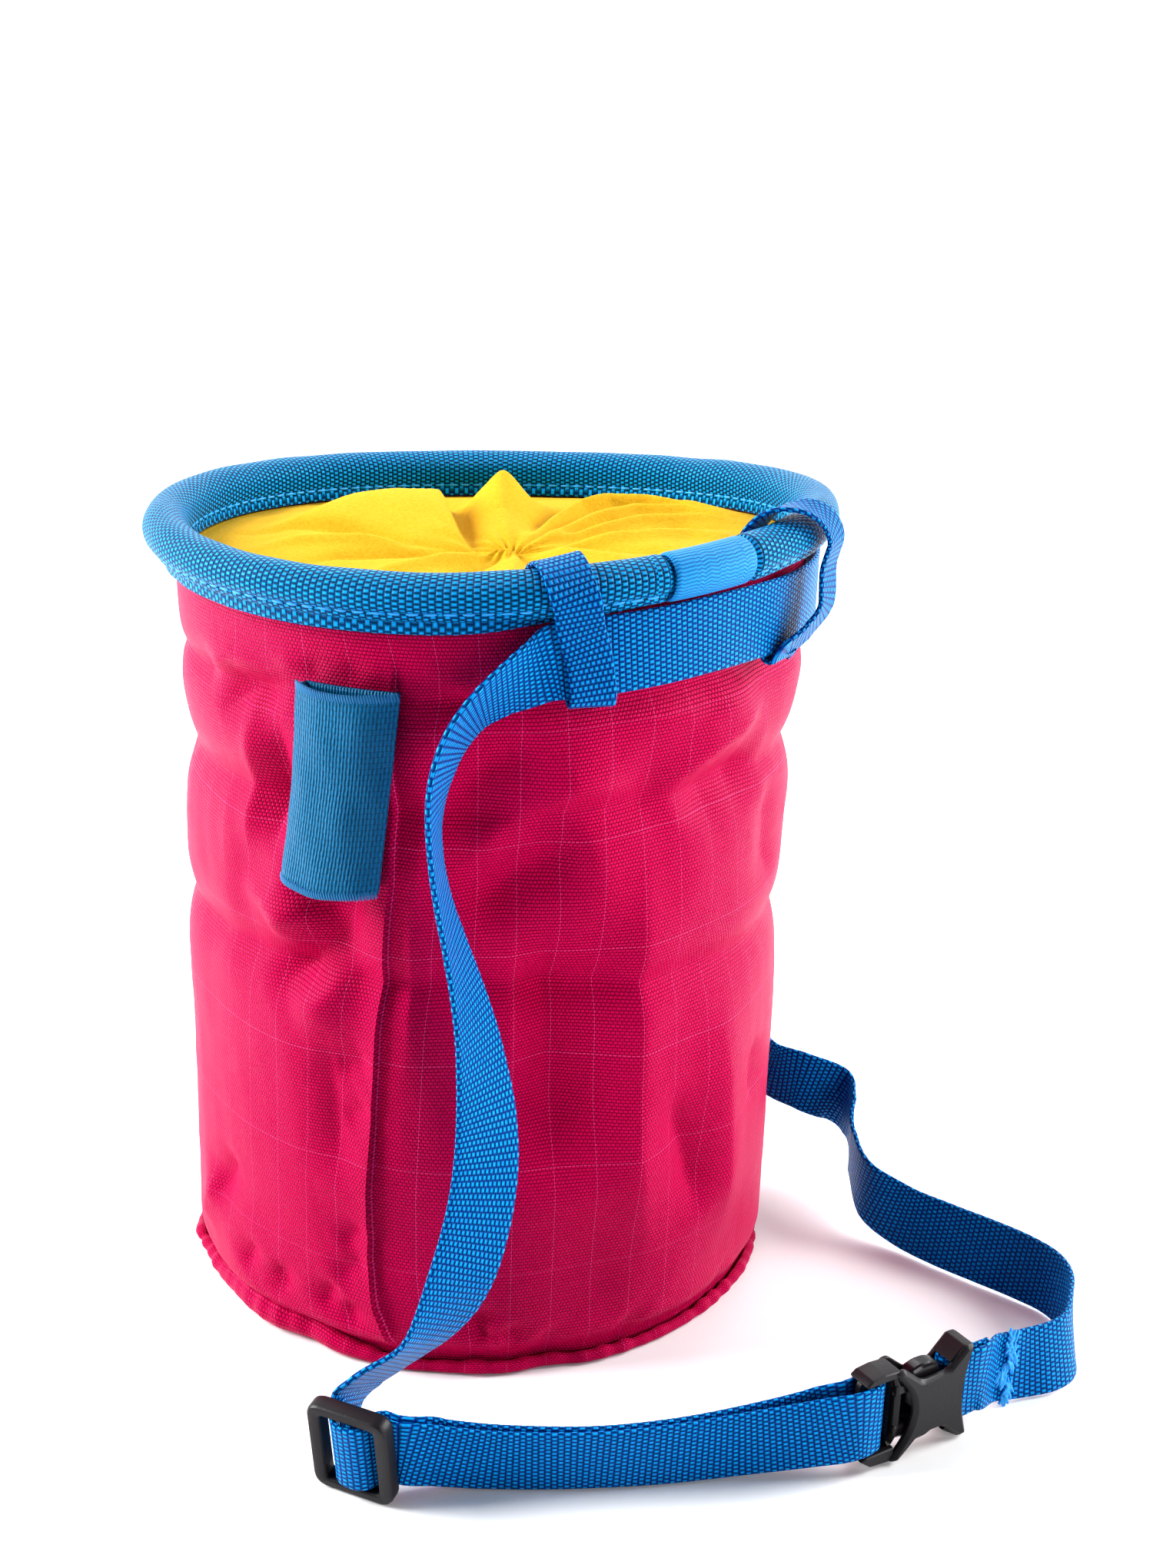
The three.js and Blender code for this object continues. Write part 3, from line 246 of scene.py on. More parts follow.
def line_through(points, spans, shares):
    """Centripetal Catmull-Rom curve: a cubic between each two points, with tangents from the
    square roots of the distances to their neighbours. Gives places and directions."""
    before = np.vstack([2 * points[:1] - points[1:2], points[:-2]])
    here, there = points[:-1], points[1:]
    after = np.vstack([points[2:], 2 * points[-1:] - points[-2:-1]])
    gaps = [
        np.sqrt(np.linalg.norm(b - a, axis=1, keepdims=True))
        for a, b in ((before, here), (here, there), (there, after))
    ]
    middle = np.where(gaps[1] < 1e-4, 1, gaps[1])
    first = np.where(gaps[0] < 1e-4, middle, gaps[0])
    last = np.where(gaps[2] < 1e-4, middle, gaps[2])
    leave = (here - before) / first - (there - before) / (first + middle)
    leave = (leave + (there - here) / middle) * middle
    arrive = (there - here) / middle - (after - here) / (middle + last)
    arrive = (arrive + (after - there) / last) * middle
    square = 3 * (there - here) - 2 * leave - arrive
    cube = 2 * (here - there) + leave + arrive
    w = shares[:, None]
    place = here[spans] + w * (leave[spans] + w * (square[spans] + w * cube[spans]))
    direction = leave[spans] + w * (2 * square[spans] + 3 * w * cube[spans])
    return place, direction


def strap_frames(stations, spacing):
    """Places, directions, edges and facings along a strap through its stations."""
    points = np.array([place for place, _ in stations])
    edges = unit(np.array([edge for _, edge in stations]))
    gaps = np.linalg.norm(np.diff(points, axis=0), axis=1)
    parts = np.maximum(np.ceil(gaps / spacing).astype(int), 3)
    spans = np.append(np.repeat(np.arange(len(parts)), parts), len(parts) - 1)
    shares = np.append(np.concatenate([np.arange(n) / n for n in parts]), 1.0)
    place, direction = line_through(points, spans, shares)
    edge, _ = line_through(edges, spans, shares)
    direction = unit(direction)
    edge = unit(edge - np.sum(edge * direction, 1, keepdims=True) * direction)
    return place, direction, edge, np.cross(direction, edge)


def strap(name, stations, width, cloth, spacing=1.0):
    """Webbing: a flat section with round selvedges, a little thicker than its middle, swept
    along its stations."""
    place, _, edge, facing = strap_frames(stations, spacing)
    flat = np.linspace(-1, 1, 11) * (width - cloth) / 2
    turn = np.array([45, 0, -45]) * DEG
    body = 0.88 + 0.12 * (np.abs(flat) > 0.4 * width)
    across = np.concatenate(
        [flat, flat[-1] + cloth / 2 * np.cos(turn), flat[::-1], flat[0] - cloth / 2 * np.cos(turn)]
    )
    lifted = cloth / 2 * np.concatenate([body, np.sin(turn), -body, -np.sin(turn)])
    points = (
        place[:, None]
        + across[None, :, None] * edge[:, None]
        + lifted[None, :, None] * facing[:, None]
    )
    outline = np.stack([across, lifted], 1)
    around = np.linalg.norm(np.roll(outline, -1, 0) - outline, axis=1)
    around = np.concatenate([[0], np.cumsum(around)])
    along = np.concatenate([[0], np.cumsum(np.linalg.norm(np.diff(place, axis=0), axis=1))])
    places = grid_places(along, around)
    return surface(name, points, places, wrap=(False, True), caps=(True, True), soft=70)


# Materials


def linear(code):
    """sRGB hex code to linear light."""
    values = np.array([int(code[i : i + 2], 16) for i in (1, 3, 5)]) / 255
    values = np.where(values <= 0.04045, values / 12.92, ((values + 0.055) / 1.055) ** 2.4)
    return (*(float(value) for value in values), 1.0)


def add(tree, kind, settings=(), inputs=()):
    """Adds a node. Settings are its own properties. An input is a value or a node's output."""
    node = tree.nodes.new(kind)
    for key, value in dict(settings).items():
        setattr(node, key, value)
    for key, value in dict(inputs).items():
        if isinstance(value, bpy.types.NodeSocket):
            tree.links.new(value, node.inputs[key])
        else:
            node.inputs[key].default_value = value
    return node


def shader(name, tint="#ffffff", **inputs):
    """A material with one Principled shader, and its node tree. Dyed yarns tint their highlights."""
    material = bpy.data.materials.new(name)
    material.use_nodes = True
    tree = material.node_tree
    tree.nodes.clear()
    surface_shader = add(tree, "ShaderNodeBsdfPrincipled", inputs=inputs)
    surface_shader.inputs["Specular Tint"].default_value = linear(tint)
    add(tree, "ShaderNodeOutputMaterial", inputs={"Surface": surface_shader.outputs[0]})
    return material, tree, surface_shader


def lattice(tree, across, along, gap=0.3):
    """Height of a weave: rounded floats of yarn in rows, every second row shifted by half, with
    low gaps between them. Across is the floats' pitch and along that of the rows."""
    place = add(tree, "ShaderNodeUVMap", {"uv_map": "cloth"})
    rows = add(
        tree,
        "ShaderNodeTexBrick",
        {"offset": 0.5, "squash": 1.0},
        {
            "Vector": place.outputs[0],
            "Color1": (1, 1, 1, 1),
            "Color2": (0.82, 0.82, 0.82, 1),
            "Mortar": (0, 0, 0, 1),
            "Scale": 1.0,
            "Mortar Size": gap,
            "Mortar Smooth": 1.0,
            "Bias": 0.0,
            "Brick Width": across,
            "Row Height": along,
        },
    )
    return rows.outputs["Color"]


def two_tone(tree, factor, low, high):
    """Colour between two codes."""
    mix = add(
        tree,
        "ShaderNodeMix",
        {"data_type": "RGBA"},
        {0: factor, 6: linear(low), 7: linear(high)},
    )
    return mix.outputs[2]


def relief_bump(tree, height, depth, strength=1.0, under=None):
    """Bump of a depth in millimetres, on top of another one."""
    inputs = {"Height": height, "Distance": depth * MM, "Strength": strength}
    if under:
        inputs["Normal"] = under
    return add(tree, "ShaderNodeBump", inputs=inputs).outputs[0]


def webbing(name, low, high, across=1.0, along=1.2):
    """Woven nylon or polyester webbing: floats of bright yarn in staggered rows 1.2 mm apart, with
    painted shade in the gaps between them, a dark colour. The floats are 0.93 mm apart, drawn a little
    wider so that they stay apart in the picture."""
    material, tree, surface_shader = shader(
        name, "#48b8ff", Roughness=0.4, IOR=1.53, **{"Specular IOR Level": 0.24}
    )
    weave = lattice(tree, across, along, 0.36)
    # Painted shade: the gaps of the weave take the dark code, the floats the bright one
    colour = two_tone(tree, weave, low, high)
    tree.links.new(colour, surface_shader.inputs["Base Color"])
    tree.links.new(relief_bump(tree, weave, 0.5), surface_shader.inputs["Normal"])
    return material


def ripstop(name):
    """Coated nylon cloth: a plain weave of fine yarns with a soft sheen. They are about 0.6 mm
    apart and drawn 0.7 to 0.8, so that they show. Lighter doubled yarns run up every 8.6 mm,
    and across every 23 mm."""
    material, tree, surface_shader = shader(
        name, "#ff5c9c", Roughness=0.45, IOR=1.5, **{"Specular IOR Level": 0.18}
    )
    weave = lattice(tree, 0.78, 0.7, 0.2)
    place = add(tree, "ShaderNodeUVMap", {"uv_map": "cloth"})
    grid = add(
        tree,
        "ShaderNodeTexBrick",
        {"offset": 0.0, "squash": 1.0},
        {
            "Vector": place.outputs[0],
            "Color1": (0, 0, 0, 1),
            "Color2": (0, 0, 0, 1),
            "Mortar": (1, 1, 1, 1),
            "Scale": 1.0,
            "Mortar Size": 0.1,
            "Mortar Smooth": 0.4,
            "Bias": 0.0,
            "Brick Width": 8.6,
            "Row Height": 23.0,
        },
    )
    dashes = add(
        tree,
        "ShaderNodeMath",
        {"operation": "MULTIPLY"},
        {0: grid.outputs["Fac"], 1: weave},
    )
    # Painted shade: the gaps between the yarns take the darker code
    body = two_tone(tree, weave, "#8c0032", "#d2065a")
    lines = add(
        tree,
        "ShaderNodeMix",
        {"data_type": "RGBA"},
        {0: dashes.outputs[0], 6: body, 7: linear("#da4480")},
    )
    tree.links.new(lines.outputs[2], surface_shader.inputs["Base Color"])
    where = add(tree, "ShaderNodeTexCoord")
    crumple = add(
        tree,
        "ShaderNodeTexNoise",
        inputs={"Vector": where.outputs["Object"], "Scale": 130.0, "Detail": 2.0},
    )
    under = relief_bump(tree, crumple.outputs[0], 0.5, 0.5)
    tree.links.new(relief_bump(tree, weave, 0.16, 1.0, under), surface_shader.inputs["Normal"])
    return material


def suede(name):
    """Brushed microfibre: matt, with a fine nap that lightens at its edges."""
    sheen = {"Sheen Weight": 0.1, "Sheen Roughness": 0.5, "Sheen Tint": linear("#ffd867")}
    material, tree, surface_shader = shader(
        name, Roughness=0.92, IOR=1.45, **sheen, **{"Specular IOR Level": 0.2}
    )
    where = add(tree, "ShaderNodeTexCoord")
    nap = add(
        tree,
        "ShaderNodeTexNoise",
        inputs={"Vector": where.outputs["Object"], "Scale": 1400.0, "Detail": 3.0},
    )
    colour = two_tone(tree, nap.outputs[0], "#bd900c", "#dcb028")
    tree.links.new(colour, surface_shader.inputs["Base Color"])
    tree.links.new(relief_bump(tree, nap.outputs[0], 0.2), surface_shader.inputs["Normal"])
    return material


def ribbed(name, low, high, pitch, depth, vertical):
    """Smooth tape with fine ribs along it, or woven elastic with ribs up it and a knit between them:
    soft stripes of light, with painted shade, a darker colour, in the grooves."""
    material, tree, surface_shader = shader(name, "#7fd0ff", Roughness=0.5, IOR=1.5)
    place = add(tree, "ShaderNodeUVMap", {"uv_map": "cloth"})
    bands = add(
        tree,
        "ShaderNodeTexWave",
        {"wave_type": "BANDS", "bands_direction": "X" if vertical else "Y"},
        {"Vector": place.outputs[0], "Scale": np.pi / 10 / pitch, "Distortion": 0.0},
    )
    height = bands.outputs["Fac"]
    if vertical:
        knit = lattice(tree, 0.9, 1.1, 0.25)
        height = add(
            tree, "ShaderNodeMath", {"operation": "MULTIPLY_ADD"}, {0: knit, 1: 0.5, 2: height}
        ).outputs[0]
        height = add(
            tree, "ShaderNodeMath", {"operation": "DIVIDE"}, {0: height, 1: 1.5}
        ).outputs[0]
    # Painted shade: the grooves between the ribs and the knit take the darker code
    colour = two_tone(tree, height, low, high)
    tree.links.new(colour, surface_shader.inputs["Base Color"])
    tree.links.new(relief_bump(tree, height, depth), surface_shader.inputs["Normal"])
    return material


def acetal(name, roughness, grain):
    """Black moulded acetal: satin, with the mould's fine spark grain."""
    black = {"Base Color": linear("#1b191c"), "Specular IOR Level": 0.32}
    material, tree, surface_shader = shader(name, Roughness=roughness, IOR=1.48, **black)
    where = add(tree, "ShaderNodeTexCoord")
    spark = add(
        tree,
        "ShaderNodeTexNoise",
        inputs={"Vector": where.outputs["Object"], "Scale": 2600.0, "Detail": 2.0},
    )
    tree.links.new(relief_bump(tree, spark.outputs[0], grain), surface_shader.inputs["Normal"])
    return material


def plain(name, code, roughness):
    """Spun sewing thread: one dyed colour with a satin surface."""
    material, _, _ = shader(name, Roughness=roughness, **{"Base Color": linear(code)})
    return material


# The body's cloth is bright where it faces a light and deep red in its folds. Webbing glitters
# from float to float, the closure is quite matt, and the moulded pieces are satin black, with
# the buckle's inner parts polished
CLOTH = ripstop("pink ripstop nylon")
# The first code of each webbing, the tape and the elastic is painted shade for the gaps and grooves of
# its weave
RIM_WEB = webbing("rim polyester webbing", "#002e58", "#16a6ee", 1.0, 1.25)
BELT_WEB = webbing("belt nylon webbing", "#002c7a", "#0ea2f2")
LOOP_WEB = webbing("loop nylon webbing", "#002c7a", "#0c9cec", 1.0, 1.1)
SUEDE = suede("yellow brushed microfibre")
TAPE = ribbed("blue satin binding tape", "#0d66a6", "#2796dc", 0.62, 0.1, False)
ELASTIC = ribbed("teal woven elastic", "#013c58", "#076e9c", 0.62, 0.3, True)
THREAD = plain("blue polyester thread", "#2a9fe8", 0.5)
EDGE_THREAD = plain("teal polyester thread", "#0c6c9e", 0.55)
SATIN = acetal("black satin acetal", 0.42, 0.035)
GLOSS = acetal("black polished acetal", 0.2, 0.006)


def finish(piece, material, nodes=()):
    """Gives a piece its material and body, and hides the CAD nodes that it stands for."""
    piece.data.materials.append(material)
    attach(piece, "root")
    if nodes:
        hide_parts(*nodes)
    return piece


# Body cloth

# Bumps and dents of the side wall, as in the CAD: angle, lean, width, low, high, swell
WALL_FOLDS = [
    (-93, 6, 13, 0.3, 0.88, -0.03),
    (-76, -10, 9, 0.2, 0.62, 0.006),
    (-62, 22, 8, 0.34, 0.9, -0.018),
    (-40, 14, 12, 0.1, 0.75, 0.008),
    (-14, 0, 16, 0.6, 0.9, 0.014),
    (-12, 0, 18, 0.38, 0.66, -0.008),
    (-113, -4, 5, 0.34, 0.62, -0.02),
    (-123, 5, 7, 0.12, 0.6, 0.006),
    (-136, 8, 6, 0.4, 0.94, -0.024),
    (-152, -6, 9, 0.2, 0.8, -0.01),
    (-171, 0, 14, 0.34, 0.68, 0.01),
    (-112, 0, 16, 0.02, 0.14, 0.014),
    (-140, 0, 12, 0.02, 0.12, 0.02),
    (-72, 0, 9, 0.02, 0.2, -0.018),
    (-50, 0, 12, 0.02, 0.16, 0.012),
    (30, 10, 14, 0.2, 0.8, -0.014),
    (72, -8, 12, 0.3, 0.85, 0.01),
    (108, 8, 15, 0.15, 0.7, -0.02),
    (148, -6, 13, 0.3, 0.9, 0.009),
]
# Waves of the hem: angle, width, swell
HEM_WAVES = [
    (-172, 13, 0.03),
    (-146, 9, -0.008),
    (-124, 9, -0.02),
    (-104, 8, 0.006),
    (-77, 9, -0.02),
    (-20, 18, 0.008),
    (60, 20, 0.012),
]
# The side seam: its heights and its angle at each
SEAM_HEIGHTS = [7, 15, 25, 41, 59, 76, 92, 108, 138, 150, 157]
SEAM_ANGLES = [-105.8, -108.7, -109.9, -110.1, -109.6, -108.8, -107.4, -106, -106.7, -105.3, -106.9]
# Creases of the cloth: places as angle and height, width, and height of the ridge (+) or
# depth of the valley (-)
CREASES = [
    ([(-121, 145), (-119, 156)], 3, -1.5),
    ([(-124, 146), (-128, 157)], 3.4, 1.2),
    ([(-112, 146), (-114, 156)], 2.6, -1.3),
    ([(-108, 148), (-110, 157)], 2.5, 1.1),
    ([(-106, 157), (-99, 150), (-90, 146)], 3, 1.3),
    ([(-103, 148), (-94, 144), (-86, 146)], 3.5, -1.4),
    ([(-97, 157), (-88, 153), (-82, 156)], 5, -1.8),
    ([(-150, 140), (-140, 147), (-128, 146)], 4.2, 1.2),
    ([(-146, 134), (-136, 141), (-127, 139)], 3.6, -1.1),
    ([(-128, 138), (-131, 108)], 3.6, -1.3),
    ([(-135, 140), (-138, 104)], 5, 1.0),
    ([(-128, 106), (-118, 101), (-108, 104)], 3.5, -1.5),
    ([(-141, 100), (-120, 97)], 4, 0.8),
    ([(-112, 104), (-117, 94), (-126, 85), (-134, 79)], 5, -1.6),
    ([(-120, 103), (-132, 92)], 5, 0.9),
    ([(-113, 88), (-121, 80), (-128, 77)], 4, 0.8),
    ([(-120, 78), (-118, 60), (-116, 40)], 6, -0.9),
    ([(-110, 70), (-118, 66)], 3.2, -0.6),
    ([(-110, 60), (-116, 55)], 3.2, -0.5),
    ([(-111, 34), (-116, 27)], 3.2, -0.6),
    ([(-110, 27), (-117, 19)], 3.4, -0.6),
    ([(-143, 37), (-152, 22)], 4, -0.9),
    ([(-150, 30), (-158, 12)], 5, 0.8),
    ([(-140, 12), (-136, 20)], 3, -0.8),
    ([(-128, 11), (-131, 18)], 3, -0.8),
    ([(-120, 11), (-117, 19)], 3, -0.8),
    ([(-113, 9), (-114, 16)], 3, -0.8),
    ([(-103, 140), (-101, 120), (-103, 100), (-104, 60)], 3, 0.6),
    ([(-97, 108), (-88, 120), (-76, 128), (-62, 126)], 6, 1.4),
    ([(-98, 122), (-90, 132), (-80, 136)], 6, -1.0),
    ([(-95, 100), (-84, 110), (-72, 116)], 8, -1.6),
    ([(-80, 105), (-76, 40)], 14, -1.6),
    ([(-61, 118), (-62, 80), (-62, 50), (-58, 20)], 8, 1.2),
    ([(-56, 62), (-50, 45), (-46, 28)], 5, -1.1),
    ([(-44, 80), (-40, 45), (-38, 15)], 9, 0.9),
    ([(-62, 122), (-48, 132), (-32, 140)], 6, 1.2),
    ([(-55, 118), (-42, 124), (-30, 126)], 8, -0.9),
    ([(-70, 142), (-50, 138), (-35, 143)], 4, 0.7),
    ([(-26, 120), (-24, 95)], 8, -0.8),
    ([(-27, 62), (-28, 45)], 6, -0.6),
    ([(-92, 17), (-88, 6)], 3, -1.5),
    ([(-85, 13), (-83, 5)], 2.5, -1.2),
    ([(-89, 14), (-86, 6)], 2.5, 0.8),
    ([(-79, 10), (-76, 5)], 3, -0.8),
    ([(-64, 9), (-60, 5)], 4, -0.6),
    ([(-40, 8), (-36, 4)], 4, -0.5),
    ([(-86, 105), (-85, 60)], 5, 0.6),
    ([(-4, 140), (6, 118), (2, 92)], 7, -0.15),
    ([(14, 30), (22, 58), (18, 84)], 8, 1.0),
    ([(34, 140), (48, 122), (44, 96)], 7, -1.1),
    ([(58, 30), (52, 58), (62, 88)], 8, 1.0),
    ([(76, 142), (84, 126), (98, 118)], 6, -1.2),
    ([(92, 24), (100, 50), (94, 82)], 9, 1.1),
    ([(118, 138), (126, 112), (120, 88)], 7, -1.1),
    ([(136, 22), (130, 44), (138, 70)], 7, 0.9),
    ([(158, 132), (168, 110), (162, 84)], 7, -0.35),
    ([(176, 60), (170, 36), (176, 14)], 7, 0.6),
    ([(-32, 142), (-8, 140), (16, 142)], 6, 0.35),
    ([(-196, 142), (-172, 140), (-152, 142)], 6, 0.35),
    ([(34, 150), (40, 138), (52, 132)], 3.5, -1.1),
    ([(60, 152), (64, 140), (60, 128)], 3.5, 0.9),
    ([(88, 150), (92, 138), (104, 130)], 3.5, -1.1),
    ([(112, 150), (118, 140), (116, 126)], 3, 0.9),
    ([(140, 150), (146, 138), (142, 124)], 3.5, -0.9),
    ([(64, 96), (80, 84), (96, 88)], 4.5, -1.1),
    ([(104, 66), (118, 58), (132, 64)], 4.5, 1.0),
    ([(26, 78), (40, 66), (54, 70)], 4.5, -0.9),
    ([(72, 10), (70, 20)], 3, -0.8),
    ([(100, 10), (104, 19)], 3, -0.8),
    ([(130, 10), (127, 20)], 3, -0.8),
    ([(156, 10), (160, 19)], 3, -0.7),
]


def rim_lift(degrees):
    """The rim rises towards +X and is bent a little, its sides up and its front and back down."""
    tilt = 0.036 * RIM_RADIUS * np.cos(degrees * DEG)
    return tilt + 1.6 * np.cos(2 * (degrees + 14) * DEG)


def skirt_bottom(degrees):
    """Height of the skirts' lower edge: it follows the rim, and is shorter over the belt."""
    shorter = 1.2 * bump(turn_between(degrees, -52), 40)
    return RING_HEIGHT - SKIRT_DROP + rim_lift(degrees) + shorter


def hem_radius(degrees):
    """Radius of the hem: half a cosine wave is added for each of its waves."""
    waves = [s * bump(turn_between(degrees, a), w) for a, w, s in HEM_WAVES]
    return HEM_RADIUS + BODY_RADIUS * sum(waves)


def wall_columns():
    """Angles of the wall's columns: fine at the seam, close in front and wider apart behind."""
    seam = np.arange(-112.5, -102.5, 0.35)
    front = np.concatenate([np.arange(-168, -112.5, 0.68), np.arange(-102.5, -18, 0.68)])
    back = np.arange(-18, 192, 1.6)
    return np.sort(np.concatenate([seam, front, back]))


def wall_radius(degrees, share, height):
    """The CAD's radius at an angle and a share of the height, then the seam, the creases and
    fine ripples of stiff cloth on top."""
    swell = np.zeros(degrees.shape)
    for angle, lean, width, low, high, size in WALL_FOLDS:
        middle, tall = (low + high) / 2, high - low
        along = bump(share - middle, tall / 2 + 0.06)
        centre = angle + lean * (share - middle) / tall
        swell += size * along * bump(turn_between(degrees, centre), 1.6 * width)
    tucked = hem_radius(degrees) - HEM_CLOTH - 0.45
    radius = tucked + (BODY_RADIUS * (1 + swell) - tucked) * step(share, 0.01, 0.045)

    across = turn_between(degrees, -90) * DEG * BODY_RADIUS
    # Soft and fine ripples, then the creases: the wide ones are deepened most, to show in soft
    # light. Gathers run round under the binding and fade downwards
    folds = ripples(across, height, 7, 9, (14, 34), 0.09)
    folds += ripples(across, height, 11, 8, (7, 12), 0.035)
    for path, width, size in CREASES:
        path = [(turn_between(a, -90) * DEG * BODY_RADIUS, z) for a, z in path]
        size = size * (1.3 + 0.26 * width)
        folds += relief(across, height, path, size, width, width, 1.35)
    stitched = np.exp(-(162 - height) / 5) * (height < 162)
    folds += 0.5 * stitched * np.sin(degrees * 44 * DEG + 2 * np.sin(degrees * 7 * DEG))

    from_seam = (degrees - np.interp(height, SEAM_HEIGHTS, SEAM_ANGLES)) * DEG * BODY_RADIUS
    under_holder = step(height, 100, 106) * step(-height, -152, -146)
    # The cloth to the left of the seam lies over the right one, and both lie flat away from it
    left = (1.5 - 0.9 * under_holder) * np.exp(np.minimum(from_seam, 0) / 6)
    right = -0.7 * np.exp(-np.maximum(from_seam, 0) / 9)
    near = np.abs(from_seam) < 60
    folds += np.where(near, left + (right - left) * step(from_seam, -0.45, 0.45), 0)

    # The cloth is held flat at the hem and under the binding
    calm = step(height, 3, 10) * step(-height, -159, -150)
    radius = radius + folds * calm
    return radius + (WALL_TOP_RADIUS - radius) * step(share, 0.86, 0.95)


def side_wall():
    """Cloth tube: the radius is a function of the angle and the height. Columns near the seam
    lean with it, so that its edge lies between two of them."""
    columns = wall_columns()
    share = np.linspace(0, 1, 122)[:, None]
    top = WALL_EDGE + rim_lift(columns)[None, :]
    height = WALL_FOOT + (top - WALL_FOOT) * share
    seam = np.interp(height, SEAM_HEIGHTS, SEAM_ANGLES)
    lean = (seam + 107.5) * bump(columns + 107.5, 24)[None, :]
    degrees = columns[None, :] + lean
    radius = wall_radius(degrees, share + 0 * degrees, height)
    closing = np.append(columns, columns[0] + 360)
    around = turn_between(closing, -168) % 360 * DEG * BODY_RADIUS
    around[-1] = 360 * DEG * BODY_RADIUS
    places = grid_places(share[:, 0] * (WALL_EDGE - WALL_FOOT + 0.1), around)
    wall = surface(
        "wall_cloth", polar(radius, degrees, height), places, wrap=(False, True), soft=60
    )
    return finish(thicken(wall, BODY_CLOTH), CLOTH, ["side_wall"])


def base_panel():
    """Base cloth: a flat disc whose edge turns up into a puckered roll round the wall's foot,
    taller on the left, swept round with the hem's waves."""
    columns = wall_columns()
    edge = hem_radius(columns)
    tall = 2.8 + 4.8 * bump(turn_between(columns, -136), 34)
    across = columns * DEG * HEM_RADIUS
    pucker = ripples(across, 0 * across, 3, 7, (3.4, 8), 0.28)
    tall = tall + 1.3 * pucker
    fat = 1.1 * bump(turn_between(columns, -136), 40) - 0.15 + 0.6 * pucker
    # Each row: share of the radius, then millimetres out from the hem, and its height as
    # millimetres and a share of the roll's height
    rows = [
        (0.001, 0, 0.35, 0),
        (0.5, 0, 0.25, 0),
        (0.9, 0, 0.1, 0),
        (1, -1.6, 0.02, 0),
        (1, -0.5, 0.15, 0.02),
        (1, 0.1, 0.1, 0.14),
        (1, 0.5, 0, 0.32),
        (1, 0.62, 0, 0.5),
        (1, 0.5, 0, 0.68),
        (1, 0.15, 0, 0.84),
        (1, -0.35, 0, 0.96),
        (1, -0.9, 0, 1),
        (1, -1.35, 0, 0.93),
        (1, -1.6, 0, 0.7),
        (1, -1.7, 1.0, 0.1),
        (0.9, 0, 1.2, 0),
        (0.001, 0, 1.2, 0),
    ]
    share, out, lift, part = (np.array(column)[:, None] for column in zip(*rows))
    radius = share * edge + out + np.where(out > -0.9, (out + 0.9) * fat, 0)
    height = lift + part * tall
    around = np.append(across, across[0] + 2 * np.pi * HEM_RADIUS)
    # Lengths of cloth from row to row, rounded
    down = np.cumsum([0, 30, 25, 6, *[1] * 10, 3, 25, 50])
    base = surface(
        "base_cloth",
        polar(radius, columns[None, :], height),
        grid_places(down, around),
        wrap=(False, True),
        caps=(True, True),
        soft=60,
    )
    return finish(base, CLOTH, ["base_panel"])


# Rim and closure


def rim_line(degrees, radius, turn):
    """Points round the rim's tube: an angle round the bag and a turn round the tube."""
    return polar(
        RING_RADIUS + radius * np.cos(turn * DEG),
        degrees,
        RING_HEIGHT + rim_lift(degrees) + radius * np.sin(turn * DEG),
    )


# The outer row of stitches: its turn round the rim's tube, and the angles where the sleeve and
# the two loops cover it, each with how far to both sides
STITCH_TURN = -38
STITCHES_COVERED = [(-54.6, 9), (-78.6, 4.2), (-30, 5)]


